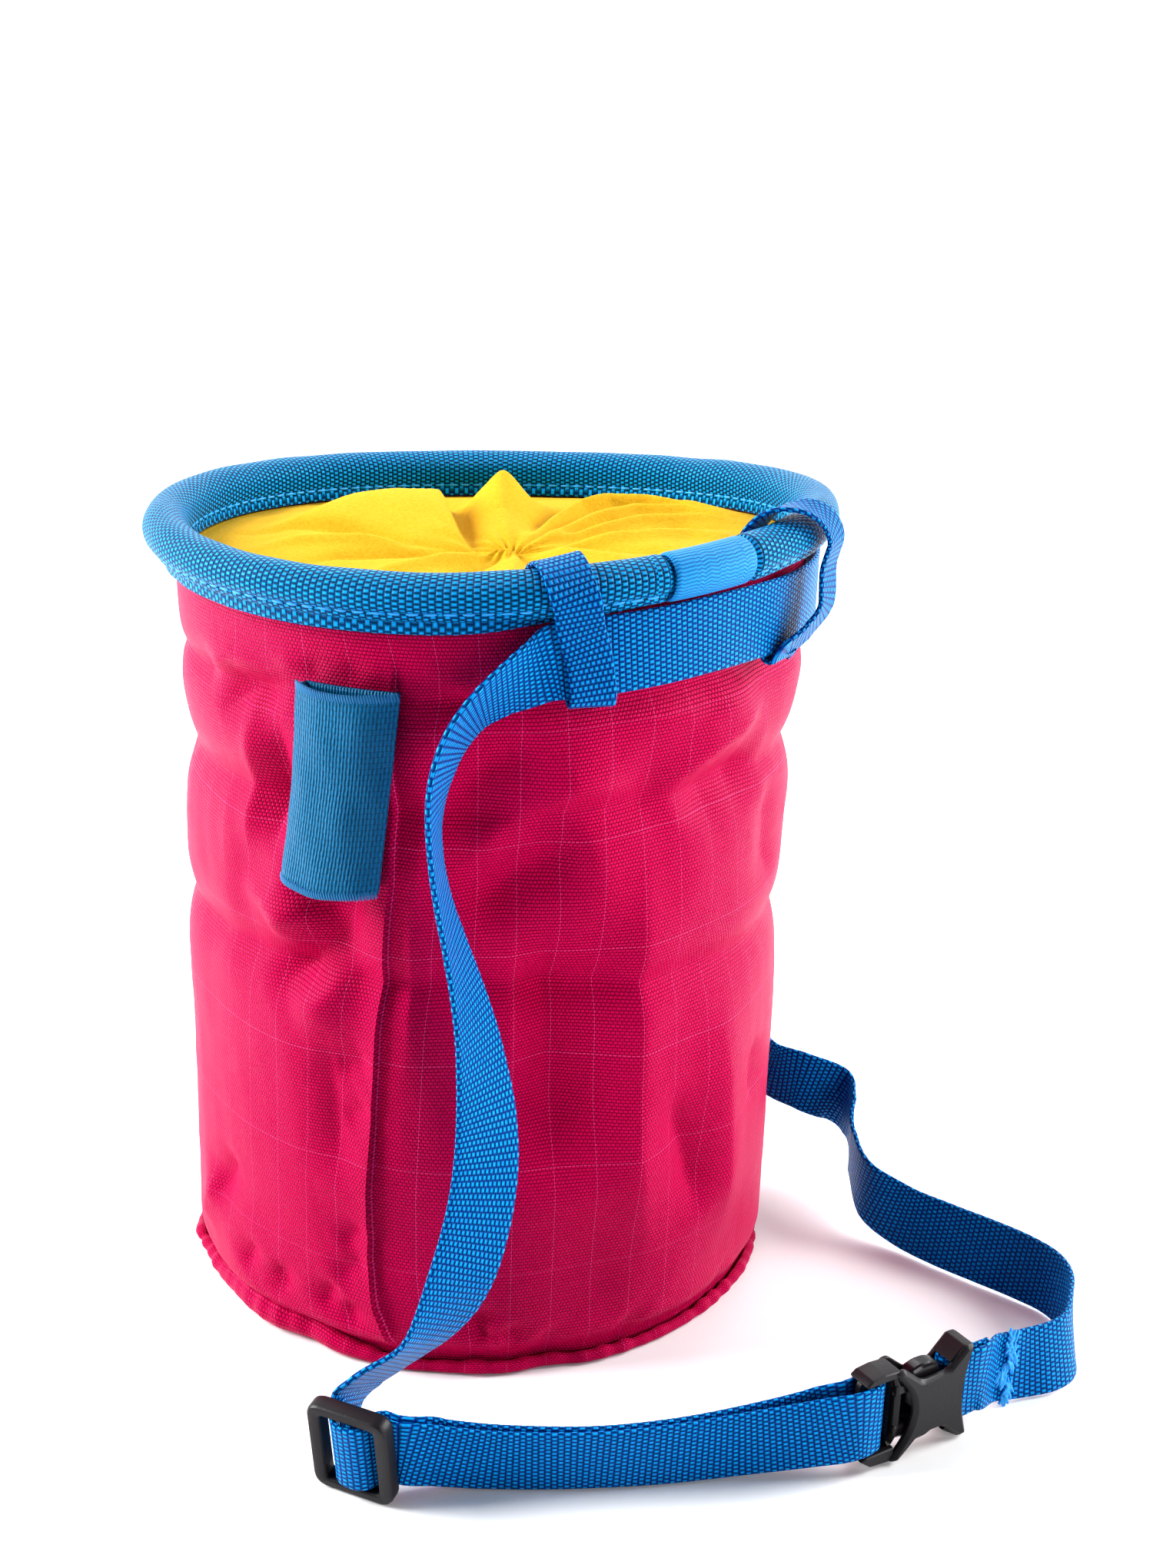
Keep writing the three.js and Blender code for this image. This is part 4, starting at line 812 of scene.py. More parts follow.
def rim_binding():
    """Binding: a tube over its ring, pinched by the stitching under it, and a skirt to each
    side of the wall's edge. One closed section is swept round."""
    fine = np.arange(SPLICE[0] - 3, SPLICE[1] + 3, 0.35)
    columns = np.sort(np.concatenate([np.arange(fine[-1] + 1, fine[0] + 360, 1.0), fine]))
    # The tube is thinner under the sleeve, and pinched along its stitches
    under = step(columns, SPLICE[0] - 1.2, SPLICE[0] - 0.3) * step(
        -columns, -SPLICE[1] - 1.2, -SPLICE[1] - 0.3
    )
    across = columns * DEG * RING_RADIUS
    tube = TUBE - 0.85 * under + ripples(across, 0 * across, 5, 6, (9, 30), 0.07)
    turns = np.linspace(-64, 182, 30)[:, None]
    tube = tube - 0.7 * np.exp(-(((turns - STITCH_TURN) / 9) ** 2))
    tube_r = RING_RADIUS + tube * np.cos(turns * DEG)
    tube_z = tube * np.sin(turns * DEG)
    low = skirt_bottom(columns) - RING_HEIGHT - rim_lift(columns)
    # Clear of the belt the outer skirt flares out and hangs a little lower
    belt = bump(turn_between(columns, -40), 62)
    flare = 0.8 - 0.6 * step(belt, 0.1, 0.5)
    ripple = ripples(across, 0 * across, 9, 6, (6, 16), 0.12)
    hem = low - 1.3 * (1 - step(belt, 0, 0.25))
    # Radius and height over the ring, up the outside to the tube and down the inside from it
    outside = [
        (SLOT_OUTER, low + 0.5),
        (SLOT_OUTER + 0.3, hem + 0.05),
        (SKIRT_OUTER + 0.3 * flare, hem),
        (SKIRT_OUTER + flare + ripple, hem + 0.25),
        (SKIRT_OUTER + 1.1 * flare + ripple, hem + 0.8),
        (SKIRT_OUTER + 1.0, np.maximum(low + 1.2, -4.45)),
    ]
    inside = [
        (SKIRT_INNER - 0.15, -1.2),
        (SKIRT_INNER - 0.05, -2.2),
        (SKIRT_INNER + 0.35, -3.1),
        (SKIRT_INNER + 0.05, -3.9),
        (SKIRT_INNER - 0.1 + 0.5 * ripple, low + 0.7),
        (SKIRT_INNER + 0.1, low + 0.1),
        (SKIRT_INNER + 0.8, low),
        (SLOT_INNER, low + 0.4),
        (SLOT_INNER, -1.8),
        (SLOT_OUTER, -1.8),
    ]
    parts = []
    for part, middle in ((0, tube_r), (1, tube_z)):
        rows = [row[part] + 0 * low for row in outside]
        rows += [*middle, *(row[part] + 0 * low for row in inside)]
        parts.append(np.array(rows))
    radius, height = parts
    points = polar(radius, columns[None, :], RING_HEIGHT + rim_lift(columns)[None, :] + height)
    section = np.stack([radius[:, 0], height[:, 0]], 1)
    down = np.linalg.norm(np.roll(section, -1, 0) - section, axis=1)
    down = np.concatenate([[0], np.cumsum(down)])
    around = np.append(across, across[0] + 2 * np.pi * RING_RADIUS)
    places = np.stack(np.meshgrid(down, around, indexing="ij"), -1)
    rim = surface("rim_webbing", points, places, wrap=(True, True), soft=60)
    return finish(rim, RIM_WEB, ["rim_binding"])


def rim_stitching():
    """Two rows of stitches round the rim, on the outside under the tube and on the inside of
    the skirt. Each thread lies along its row."""
    every = np.arange(0, 360, 2.75)
    covered = [np.abs(turn_between(every, angle)) <= half for angle, half in STITCHES_COVERED]
    seen = every[~np.any(covered, axis=0)]

    def outside(degrees):
        return rim_line(degrees, TUBE - 0.62, STITCH_TURN)

    def inside(degrees):
        return polar(SKIRT_INNER + 0.4, degrees, RING_HEIGHT - 3.1 + rim_lift(degrees))

    for name, line, degrees, out in (
        ("rim_stitches_outside", outside, seen, unit(outside(seen) - rim_line(seen, 0, STITCH_TURN))),
        ("rim_stitches_inside", inside, every, -polar(1.0, every, 0.0)),
    ):
        along = unit(line(degrees + 0.5) - line(degrees))
        row = threads(name, line(degrees), along, out, 2.3, 0.75)
        finish(row, THREAD)


def rim_splice():
    """Sleeve over the binding's joint: part of a tube whose ends close in on the rim, with a
    frayed lower edge."""
    columns = np.linspace(SPLICE[0], SPLICE[1], 60)
    from_end = np.minimum(columns - SPLICE[0], SPLICE[1] - columns) * DEG * RING_RADIUS
    radius = TUBE - 0.35 + 0.42 * np.sqrt(np.clip(from_end / 0.8, 0, 1))
    frayed = ripples(columns * 1.2, 0 * columns, 21, 8, (0.6, 3), 3.0)
    turns = np.linspace(0, 1, 40)[:, None] * (262 - frayed) + (-78 + frayed)
    points = rim_line(columns[None, :], radius[None, :], turns)
    places = grid_places(np.linspace(0, 18, 40), columns * DEG * RING_RADIUS)
    sleeve = surface("splice_tape", points, places, soft=60)
    finish(thicken(sleeve, 0.45), TAPE, ["rim_splice"])


# Folds of the closure in plan: places with their heights above the puffed cloth, and the widths
# to the left and right of the line
CLOSURE_FOLDS = [
    ([(-13, 27), (-12, 18), (-10, 8), (-8, -6), (-5, -16)], [0.6, 3.2, 3.0, 1.8, 0.3], 1.4, 15),
    ([(-46, 0), (-37, 7), (-30, 15), (-23, 22), (-13, 27)], [0.2, 1.6, 1.8, 1.6, 0.6], 5, 11),
    ([(-11, 43), (-7.5, 22), (-6, 4), (-4, -12)], [-0.6, -1.8, -1.6, -0.6], 2.4, 2.0),
    ([(3, 38), (2, 24), (2, 8), (2, -8), (3, -14)], [1.0, 6.4, 3.0, 1.4, 0.4], 6.5, 6.5),
    ([(22, 36), (15, 24), (10, 8), (8, -4), (5, -14)], [-0.3, -1.9, -2.0, -1.2, -0.3], 2.6, 2.4),
    (
        [(56, 14), (44, 22), (35, 28), (26, 29), (19, 22), (13, 9), (8, -6), (5, -14)],
        [0.4, 1.8, 2.4, 2.6, 2.4, 2.0, 1.4, 0.2],
        2.0,
        3.6,
    ),
    (
        [(56, 13), (40, 23), (30, 24), (21, 14), (14, 2), (8, -10)],
        [0, -1.2, -1.6, -1.6, -1.2, -0.3],
        1.6,
        1.6,
    ),
    (
        [(56, 11), (42, 19), (31, 19), (21, 8), (12, -6), (6, -14)],
        [0.3, 1.5, 1.8, 1.8, 1.2, 0.2],
        2.0,
        3.2,
    ),
    ([(50, 12), (38, 13), (27, 8), (16, -4)], [0, -1.1, -1.3, -0.6], 1.6, 1.6),
    ([(58, 4), (44, 8), (31, 5), (20, -3), (9, -12)], [0.2, 1.2, 1.4, 1.3, 0.3], 2.2, 3.4),
    ([(58, -2), (40, 1), (26, -6), (12, -13)], [0, -0.9, -1.1, -0.4], 2.0, 2.0),
    ([(57, -16), (40, -10), (24, -12), (10, -15)], [0, 1.0, 1.3, 0.4], 3.0, 3.0),
    ([(46, -36), (32, -24), (18, -19), (8, -16)], [0, -1.0, -1.2, -0.4], 3.0, 3.0),
    ([(34, -48), (24, -34), (14, -25), (7, -18)], [0, 1.0, 1.3, 0.4], 3.0, 3.0),
    ([(18, -56), (13, -40), (9, -28), (6, -19)], [0, -1.0, -1.2, -0.5], 2.6, 2.6),
    ([(3, -58), (4, -42), (4, -30), (4, -20)], [0, 1.0, 1.3, 0.6], 2.6, 2.6),
    ([(-13, -56), (-8, -40), (-3, -28), (1, -20)], [0, -1.0, -1.2, -0.5], 2.6, 2.6),
    ([(-30, -48), (-20, -34), (-10, -26), (-1, -19)], [0, 1.0, 1.2, 0.5], 3.0, 3.0),
    ([(-46, -30), (-32, -21), (-18, -20), (-4, -17)], [0, -0.9, -1.2, -0.5], 2.2, 2.2),
    ([(-54, -16), (-40, -10), (-26, -13), (-8, -16)], [0, 0.8, 1.1, 0.4], 3.0, 2.4),
    ([(-57, 2), (-41, 0), (-29, -6), (-17, -14), (-6, -16)], [0, -0.9, -1.2, -1.2, -0.4], 2.0, 2.0),
    ([(44, 42), (36, 34), (26, 34)], [0, -0.9, -0.6], 3.0, 3.0),
    ([(-40, 40), (-30, 30), (-22, 30)], [0, -0.8, -0.4], 4.0, 4.0),
]


def closure():
    """Gathered cloth: spokes from the twist to the inner skirt. It puffs up between them, and
    folds run along bent lines into the twist."""
    spokes, rings = 300, 88
    degrees = np.arange(spokes) * 360 / spokes - 180
    share = np.linspace(0, 1, rings)[:, None]
    share = 0.012 + 0.988 * (0.55 * share + 0.45 * share**1.6)
    edge = polar(SLOT_INNER, degrees, 0)
    x = TWIST[0] + (edge[:, 0] - TWIST[0]) * share
    y = TWIST[1] + (edge[:, 1] - TWIST[1]) * share
    spoke = np.arctan2(edge[:, 1] - TWIST[1], edge[:, 0] - TWIST[0])[None, :]
    level = RING_HEIGHT - SKIRT_DROP + (skirt_bottom(degrees) - RING_HEIGHT + SKIRT_DROP) * share
    # Puffed cloth with a swell on its left, then the folds, the pleats round the twist, soft
    # ripples and the knot in front of the twist
    puff = 2.6 * np.sin(np.pi * np.minimum(share / 0.97, 1)) ** 0.7
    folds = 2.2 * np.exp(-(((x + 27) / 17) ** 2) - ((y - 8) / 15) ** 2)
    for path, heights, left, right in CLOSURE_FOLDS:
        heights = 1.5 * np.array(heights)
        folds = folds + relief(x, y, path, heights, left, right, 1.7)
    away = np.hypot(x - TWIST[0], y - TWIST[1])
    folds += 0.5 * np.exp(-away / 9) * np.sin(17 * spoke + 1.5 * np.sin(3 * spoke)) * step(away, 0, 4)
    folds += ripples(x, y, 17, 8, (9, 22), 0.12)
    folds += 1.9 * np.exp(-(((x - 2) / 2.6) ** 2) - ((y + 19) / 2.0) ** 2)
    held = step(1 - share, 0.0, 0.06)
    height = level - 0.3 + (puff + folds) * held
    points = np.stack([x, y, height], -1)
    places = np.stack([x, y], -1)
    places = np.concatenate([places, places[:, :1]], 1)
    cloth = surface(
        "closure_cloth", points, places, wrap=(False, True), caps=(True, False), soft=75
    )
    thicken(cloth, BODY_CLOTH)
    finish(cloth, SUEDE, ["closure"])


# Brush holder


def brush_holder():
    """Elastic tube: flat against the body and bulging out, its right edge sewn into the seam.
    It leans, and its bulge is a power of a sine across it."""
    front = np.linspace(0, 1, 46)
    back = np.linspace(1, 0, 26)[1:-1]
    across = np.concatenate([front, back])[None, :]
    bulging = np.concatenate([np.ones(46), np.zeros(24)])[None, :]
    level = np.linspace(0, 1, 44)[:, None]
    rise = np.sin(np.pi * (0.03 + 0.95 * across)) ** 0.62
    sag = 1 - 0.16 * np.sin(np.pi * level)
    outer = HOLDER_OUT + HOLDER_BULGE * rise * sag
    outer = outer + 0.15 * ripples(across * 20, level * 39, 31, 5, (6, 18), 1)
    inner = HOLDER_IN + 0.25 * np.sin(np.pi * across)
    radius = np.where(bulging > 0, outer, inner)
    degrees = HOLDER_RIGHT - HOLDER_LEAN * (1 - level) - HOLDER_SPAN * across
    degrees = degrees + 0.5 * np.sin(np.pi * level) * across
    drop = 0.5 * np.sin(np.pi * across) ** 2 * bulging
    height = HOLDER_FOOT + HOLDER_HEIGHT * level - drop * (1 - level) - 0.7 * drop * level
    points = polar(radius, degrees, height)
    around = np.concatenate([across[0], [0.0]]) * HOLDER_WIDTH
    places = grid_places(level[:, 0] * HOLDER_HEIGHT, around)
    tube = surface("brush_elastic", points, places, wrap=(False, True), soft=60)
    finish(thicken(tube, 0.85), ELASTIC, ["brush_holder"])
    # Overlocked edges: stitches that stand across the upper and lower edge
    for name, row in (("brush_edge_top", -1), ("brush_edge_bottom", 0)):
        edge = points[row, 1:45]
        line = unit(np.gradient(edge, axis=0))
        out = unit(edge * [1, 1, 0])
        upright = np.array([0, 0, 1.0]) + 0.25 * line
        stitches = threads(name, edge - 0.1 * out - [0, 0, 0.05], unit(upright), out, 1.7, 0.6)
        finish(stitches, EDGE_THREAD)


# Loops and belt


def belt_height(degrees):
    """Height of the belt's middle on the bag: it rises smoothly from loop to loop."""
    return BAG_HEIGHT - 17.3 + 2.4 * step(degrees, -80, -44)


# How far a loop's middle is from what it lies on, and its radii inside the skirt, in front of
# the belt, behind it and round its lower edge
LOOP_HOLD = 0.3 + LOOP_CLOTH / 2
LOOP_INSIDE = SKIRT_INNER - 1.6 * LOOP_HOLD
LOOP_OUTSIDE = BELT_RADIUS + BELT_CLOTH / 2 + LOOP_HOLD
LOOP_BEHIND = BELT_RADIUS - BELT_CLOTH / 2 - LOOP_HOLD
LOOP_TURN = BELT_CLOTH / 2 + LOOP_HOLD + 0.15


def loop_station(angle, radius, height, tip=0.0):
    """Station of a loop: its place round the bag, and its edge along the rim, tipped a little."""
    edge = np.array([-np.sin(angle * DEG), np.cos(angle * DEG), tip])
    return polar(radius, angle, height), edge


def loop_over_rim(angle, turn, off, tip=0.0):
    """Station at a turn round the rim's tube, a number of holds away from it."""
    radius = TUBE + off * LOOP_HOLD
    height = RING_HEIGHT + rim_lift(angle) + radius * np.sin(turn * DEG)
    return loop_station(angle, RING_RADIUS + radius * np.cos(turn * DEG), height, tip)


def loop_under_belt(angle, low):
    """Stations on half a circle round the belt's lower edge, from its front to its back."""
    return [
        loop_station(
            angle,
            BELT_RADIUS + LOOP_TURN * np.cos(turn * DEG),
            low + LOOP_TURN * np.sin(turn * DEG),
        )
        for turn in (0, -45, -90, -135, -180)
    ]


def belt_loops():
    """Two webbing loops. Each is swept from inside the skirt over the rim, down in front of the
    belt and up behind it, and the right one stands off in a bow."""
    low = belt_height(-74.4) - BELT_WIDTH / 2
    left = [
        loop_station(-81, LOOP_INSIDE, skirt_bottom(-81) + 0.2 * SKIRT_DROP),
        loop_over_rim(-80.9, 176, 2, 0.1),
        loop_over_rim(-80.6, 135, 1.9, 0.22),
        loop_over_rim(-80.2, 95, 1.9, 0.22),
        loop_over_rim(-79.6, 58, 1.6, 0.12),
        loop_over_rim(-78.9, 22, 1.2),
        loop_over_rim(-78.1, -10, 1.2),
        loop_station(-77, LOOP_OUTSIDE + 0.4 * TUBE, low + 0.88 * BELT_WIDTH),
        loop_station(-75.5, LOOP_OUTSIDE + 0.12 * TUBE, low + 0.55 * BELT_WIDTH),
        *loop_under_belt(-74.4, low),
        loop_station(-74.2, LOOP_BEHIND, low + 0.6 * BELT_WIDTH),
    ]
    low = belt_height(-34.4) - BELT_WIDTH / 2
    right = [
        loop_station(-37, LOOP_INSIDE, skirt_bottom(-37) + 0.2 * SKIRT_DROP),
        loop_over_rim(-36.4, 176, 2),
        loop_over_rim(-35.2, 140, 1.8),
        loop_over_rim(-33.2, 105, 2.2),
        loop_over_rim(-30.6, 68, 2.7),
        loop_over_rim(-28.2, 35, 2.9),
        loop_over_rim(-26.8, 0, 3.3),
        loop_over_rim(-26.6, -44, 4.8),
        loop_station(-27.6, LOOP_OUTSIDE + TUBE, low + 0.56 * BELT_WIDTH),
        loop_station(-30.2, LOOP_OUTSIDE + 0.55 * TUBE, low + 0.25 * BELT_WIDTH),
        *loop_under_belt(-34.4, low),
        loop_station(-35.4, LOOP_BEHIND, low + 0.6 * BELT_WIDTH),
    ]
    for side, stations in (("left", left), ("right", right)):
        loop = strap(f"loop_{side}", stations, LOOP_WIDTH, LOOP_CLOTH, 0.8)
        finish(loop, LOOP_WEB, [f"belt_loop_{side}"])


# Places of the hardware: centre, heading of the belt there, and how far its top leans forward
SLIDER_PLACE = (polar(BODY_RADIUS * 1.597, -102.9, 10.3), -27, 9)
SOCKET_PLACE = (polar(BODY_RADIUS * 1.868, -44.4, 10.8), 30, 0)


def hardware_axes(place):
    """Directions of a piece of hardware: along the belt, across it (up), and out to the front."""
    _, heading, lean = place
    along = np.array([np.cos(heading * DEG), np.sin(heading * DEG), 0])
    level = np.array([np.sin(heading * DEG), -np.cos(heading * DEG), 0])
    up = np.array([0, 0, np.cos(lean * DEG)]) + level * np.sin(lean * DEG)
    return np.stack([along, up, np.cross(along, up)])


def placed(points, place):
    """Points drawn along, across and out from a piece of hardware, in the bag's frame."""
    return place[0] + np.asarray(points, float) @ hardware_axes(place)


def hardware_stations(place, side, rise, places):
    """Stations of the belt at a piece of hardware, from places along it and out from it."""
    edge = hardware_axes(place)[1] * side
    return [(placed([x, 0, z], place) + [0, 0, rise], edge) for x, z in places]


def round_bar(x, z, radius, side, start, end):
    """Places on an arc round a bar, to one side of it."""
    turns = np.linspace(start, end, 5) * DEG
    return [(x + side * radius * np.cos(turn), z + radius * np.sin(turn)) for turn in turns]


# Angle, reach, height and edge of the belt's stations from the slider to the left loop, then
# of its hidden stretch behind the bag
HANGING_BELT = [
    (-104.9, 1.4, 0.088, (-0.24, -0.68, 0.7)),
    (-103.2, 1.385, 0.109, (-0.18, -0.72, 0.67)),
    (-100.7, 1.365, 0.126, (-0.18, -0.74, 0.65)),
    (-98.3, 1.346, 0.141, (-0.32, -0.77, 0.55)),
    (-96, 1.328, 0.162, (-0.56, -0.7, 0.44)),
    (-93.9, 1.308, 0.193, (-0.76, -0.56, 0.33)),
    (-92.3, 1.287, 0.228, (-0.82, -0.45, 0.34)),
    (-91, 1.251, 0.265, (-0.84, -0.45, 0.31)),
    (-90, 1.216, 0.306, (-0.83, -0.48, 0.28)),
    (-89.5, 1.182, 0.348, (-0.8, -0.52, 0.29)),
    (-89.6, 1.154, 0.391, (-0.73, -0.6, 0.31)),
    (-90.3, 1.138, 0.442, (-0.6, -0.71, 0.35)),
    (-91.4, 1.132, 0.496, (-0.47, -0.8, 0.37)),
    (-92.9, 1.134, 0.549, (-0.35, -0.85, 0.38)),
    (-94.4, 1.14, 0.596, (-0.25, -0.88, 0.38)),
    (-95.8, 1.149, 0.643, (-0.16, -0.91, 0.38)),
    (-96.7, 1.159, 0.691, (-0.11, -0.91, 0.4)),
    (-96.9, 1.165, 0.738, (-0.1, -0.88, 0.46)),
    (-96.2, 1.161, 0.784, (-0.15, -0.86, 0.48)),
    (-94.5, 1.145, 0.824, (-0.18, -0.85, 0.5)),
    (-91.6, 1.112, 0.855, (-0.18, -0.8, 0.57)),
    (-87.4, 1.065, 0.876, (-0.2, -0.66, 0.72)),
    (-83.4, 1.027, 0.888, (-0.1, -0.36, 0.93)),
    (-80.4, 1.009, 0.896, (-0.01, -0.06, 1)),
]
HIDDEN_BELT = [
    (6, 1.0, 0.9, (0, 0, 1)),
    (18, 1.0, 0.875, (-0.12, 0.25, 0.95)),
    (28, 1.0, 0.815, (-0.35, 0.55, 0.72)),
    (34, 1.0, 0.73, (-0.5, 0.75, 0.42)),
    (37, 1.0, 0.63, (-0.6, 0.8, 0.12)),
    (38, 1.0, 0.52, (-0.61, 0.79, 0)),
    (37, 1.0, 0.41, (-0.6, 0.8, -0.12)),
    (33.5, 1.01, 0.3, (-0.45, 0.72, -0.5)),
    (27, 1.035, 0.21, (-0.25, 0.5, -0.83)),
    (18.5, 1.075, 0.162, (-0.1, 0.15, -0.98)),
]
# The belt on edge from behind the bag to the buckle: angle, reach, lift and lean
BACK_RUN = [
    (13.1, 1.171, 1.22, 4),
    (10.6, 1.286, 1.02, 2),
    (7.4, 1.308, 0.84, -3),
    (1.3, 1.29, 0.53, -4),
    (-4.8, 1.322, 0.26, -1),
    (-8.4, 1.44, 0.05, 10),
    (-11.5, 1.58, 0, 18),
    (-13.8, 1.705, 0, 19),
    (-15.9, 1.83, 0, 16),
    (-17.9, 1.925, 0, 9),
    (-20.4, 1.982, 0, 2),
    (-24, 2.012, 0, -6),
    (-27.6, 2.028, 0, -13),
    (-29.9, 1.995, 0, -14),
    (-32.3, 1.928, 0, -10),
    (-34.8, 1.878, 0.06, -4),
]
# The doubled run in front: share along it, bow, rear layer's distance, lift and lean
FRONT_RUN = [
    (0.08, -0.03, 1.8, 0.1, 9),
    (0.2, -0.03, 1.8, 0, 11),
    (0.4, 0.06, 1.45, 0, 12),
    (0.58, 0.02, 1.45, 0, 9),
    (0.74, -0.06, 1.9, 0.03, 5),
    (0.9, -0.05, 3.2, 0.14, 1),
]
# Height of the belt's middle where it stands on edge, its distance from what it lies on, the
# distance of two layers, and half the slider's opening
ON_EDGE = 0.3 + BELT_WIDTH / 2
HOLD = 0.3 + BELT_CLOTH / 2
LAYER = 0.3 + BELT_CLOTH
OPENING = 5.7
# Places along and out from the slider's middle: the sewn end round its bar, then the belt's way
# through it. After them, the belt's turns in the plug and in the socket
SEWN_TURN = 0.8 + HOLD + 0.2
SEWN_FRONT = -1.2 + SEWN_TURN
BEHIND = -1.8 - HOLD - 0.1
SEWN_END = [
    (1.1, -1.2 - SEWN_TURN),
    *round_bar(-0.3, -1.2, SEWN_TURN, -1, -90, 90),
    (0.99, SEWN_FRONT),
    (0.41 * OPENING, SEWN_FRONT - 0.95 * LAYER),
    (0.58 * OPENING, BEHIND - 0.3 * LAYER),
    (0.86 * OPENING, BEHIND - 1.15 * LAYER),
    (8.5, BEHIND - 1.25 * LAYER),
]
THROUGH_SLIDER = [
    (8.5, BEHIND),
    (1.07 * OPENING, BEHIND - 0.1 * LAYER),
    (0.87 * OPENING, BEHIND + 0.4 * LAYER),
    (0.72 * OPENING, SEWN_FRONT - 0.75 * LAYER),
    (0.54 * OPENING, SEWN_FRONT + 0.45 * LAYER),
    (0.27 * OPENING, SEWN_FRONT + 1.02 * LAYER),
    (0, SEWN_FRONT + 1.1 * LAYER),
    (-0.3 * OPENING, SEWN_FRONT + 0.95 * LAYER),
    (-0.56 * OPENING, SEWN_FRONT + 0.25 * LAYER),
    (-0.71 * OPENING, SEWN_FRONT - 1.0 * LAYER),
    (-0.76 * OPENING, BEHIND),
    (-0.78 * OPENING, BEHIND - 1.6 * LAYER),
]
PLUG_TURN = 1.1 + HOLD + 0.3
ROUND_PLUG = [
    (-18, -PLUG_TURN),
    *round_bar(-13.7, 0, PLUG_TURN, 1, -90, 90),
    (-18, PLUG_TURN),
]
SOCKET_TURN = 0.8 + HOLD + 0.1
SOCKET_FRONT = -0.4 + SOCKET_TURN
ROUND_SOCKET = [
    (14.7, SOCKET_FRONT),
    (10.2, SOCKET_FRONT),
    *round_bar(6.0, -0.4, SOCKET_TURN, -1, 90, -90),
    (9.2, -0.4 - SOCKET_TURN),
    (12.7, SOCKET_FRONT - 1.2 * LAYER),
    (16.7, SOCKET_FRONT - 1.1 * LAYER),
]


def front_run(start, end, rear):
    """One layer of the run in front, between the slider and the plug."""
    forward = end - start
    out = unit(np.array([forward[1], -forward[0], 0]))
    run = []
    for along, bow, apart, lifted, lean in FRONT_RUN:
        point = start + forward * along + out * (BELT_WIDTH * bow - rear * apart * BELT_CLOTH)
        point[2] = ON_EDGE + BELT_WIDTH * lifted
        edge = np.array([0, 0, np.cos(lean * DEG)]) + out * np.sin(lean * DEG)
        run.append((point, edge))
    return run


def back_run():
    """The belt on edge on the floor, each station facing square to its neighbours."""
    angle, reach, lifted, lean = np.array(BACK_RUN, float).T
    points = polar(BELT_RADIUS * reach, angle, ON_EDGE + BELT_WIDTH * lifted)
    forward = np.vstack([points[1:], points[-1:]]) - np.vstack([points[:1], points[:-1]])
    away = unit(np.stack([-forward[:, 1], forward[:, 0], 0 * angle], 1))
    edge = away * -np.sin(lean * DEG)[:, None]
    edge[:, 2] -= np.cos(lean * DEG)
    return list(zip(points, edge))


def belt_stations():
    """The whole belt: sewn on the slider's bar, along the front, round the plug, back through
    the slider, up to the loops, round the bag, down behind it and along the floor to the socket."""
    through = hardware_stations(SLIDER_PLACE, 1, 0, THROUGH_SLIDER)
    plug = hardware_stations(SOCKET_PLACE, 1, 0.9, ROUND_PLUG)
    start, end = through[0][0], plug[-1][0]
    on_way = [
        [(polar(BELT_RADIUS * r, a, BAG_HEIGHT * h), np.array(edge, float)) for a, r, h, edge in table]
        for table in (HANGING_BELT, HIDDEN_BELT)
    ]
    on_bag = [
        (polar(BELT_RADIUS, angle, belt_height(angle)), np.array([0, 0, 1.0]))
        for angle in (-76.0, -71.0, -62.0, -53.0, -44.0, -35.0, -26.0, -17.0, -6.0)
    ]
    return [
        *hardware_stations(SLIDER_PLACE, 1, 0, SEWN_END),
        *front_run(start, end, 1),
        *plug,
        *front_run(start, end, 0)[::-1],
        *through,
        *on_way[0],
        *on_bag,
        *on_way[1],
        *back_run(),
        *hardware_stations(SOCKET_PLACE, -1, 0, ROUND_SOCKET),
    ]


def belt():
    """The whole belt as one strap. Gives back the frames along it."""
    stations = belt_stations()
    webbing_loop = strap("belt_strap", stations, BELT_WIDTH, BELT_CLOTH, 1.1)
    finish(webbing_loop, BELT_WEB, ["belt_webbing"])
    return strap_frames(stations, 1.1)


# The bar of stitches: its distance from the belt's end, and its threads' number and sizes
BARTACK_PLACE = 36
BARTACK_THREADS = 84
BARTACK_LENGTH = 2.8
BARTACK_THICK = 0.8


def belt_bartack(frames):
    """Frayed bar of thread across the belt, where its end is sewn down behind the buckle: a
    wave with a bump over its middle, and each thread a little off it."""
    place, direction, edge, facing = frames
    lengths = np.cumsum(np.linalg.norm(np.diff(place, axis=0), axis=1))
    at = np.searchsorted(lengths, lengths[-1] - BARTACK_PLACE)
    chance = np.random.default_rng(41)
    count = BARTACK_THREADS
    across = np.linspace(-0.48, 0.48, count) * BELT_WIDTH
    shift = 0.6 * np.sin(across * 0.9) + 1.8 * bump(across - 2, 2.4)
    shift += chance.uniform(-0.8, 0.8, count)
    side = np.sign(facing[at] @ np.array([0.5, -0.86, 0]))
    out = facing[at] * side
    places = (
        place[at]
        + across[:, None] * edge[at]
        + shift[:, None] * direction[at]
        + (BELT_CLOTH / 2 + chance.uniform(-0.1, 0.6, count))[:, None] * out
    )
    slant = chance.uniform(-1, 1, (count, 1)) * direction[at] + edge[at]
    out = np.tile(out, (count, 1))
    bar = threads("belt_bartack", places, unit(slant), out, BARTACK_LENGTH, BARTACK_THICK)
    finish(bar, THREAD)


# Slider and buckle


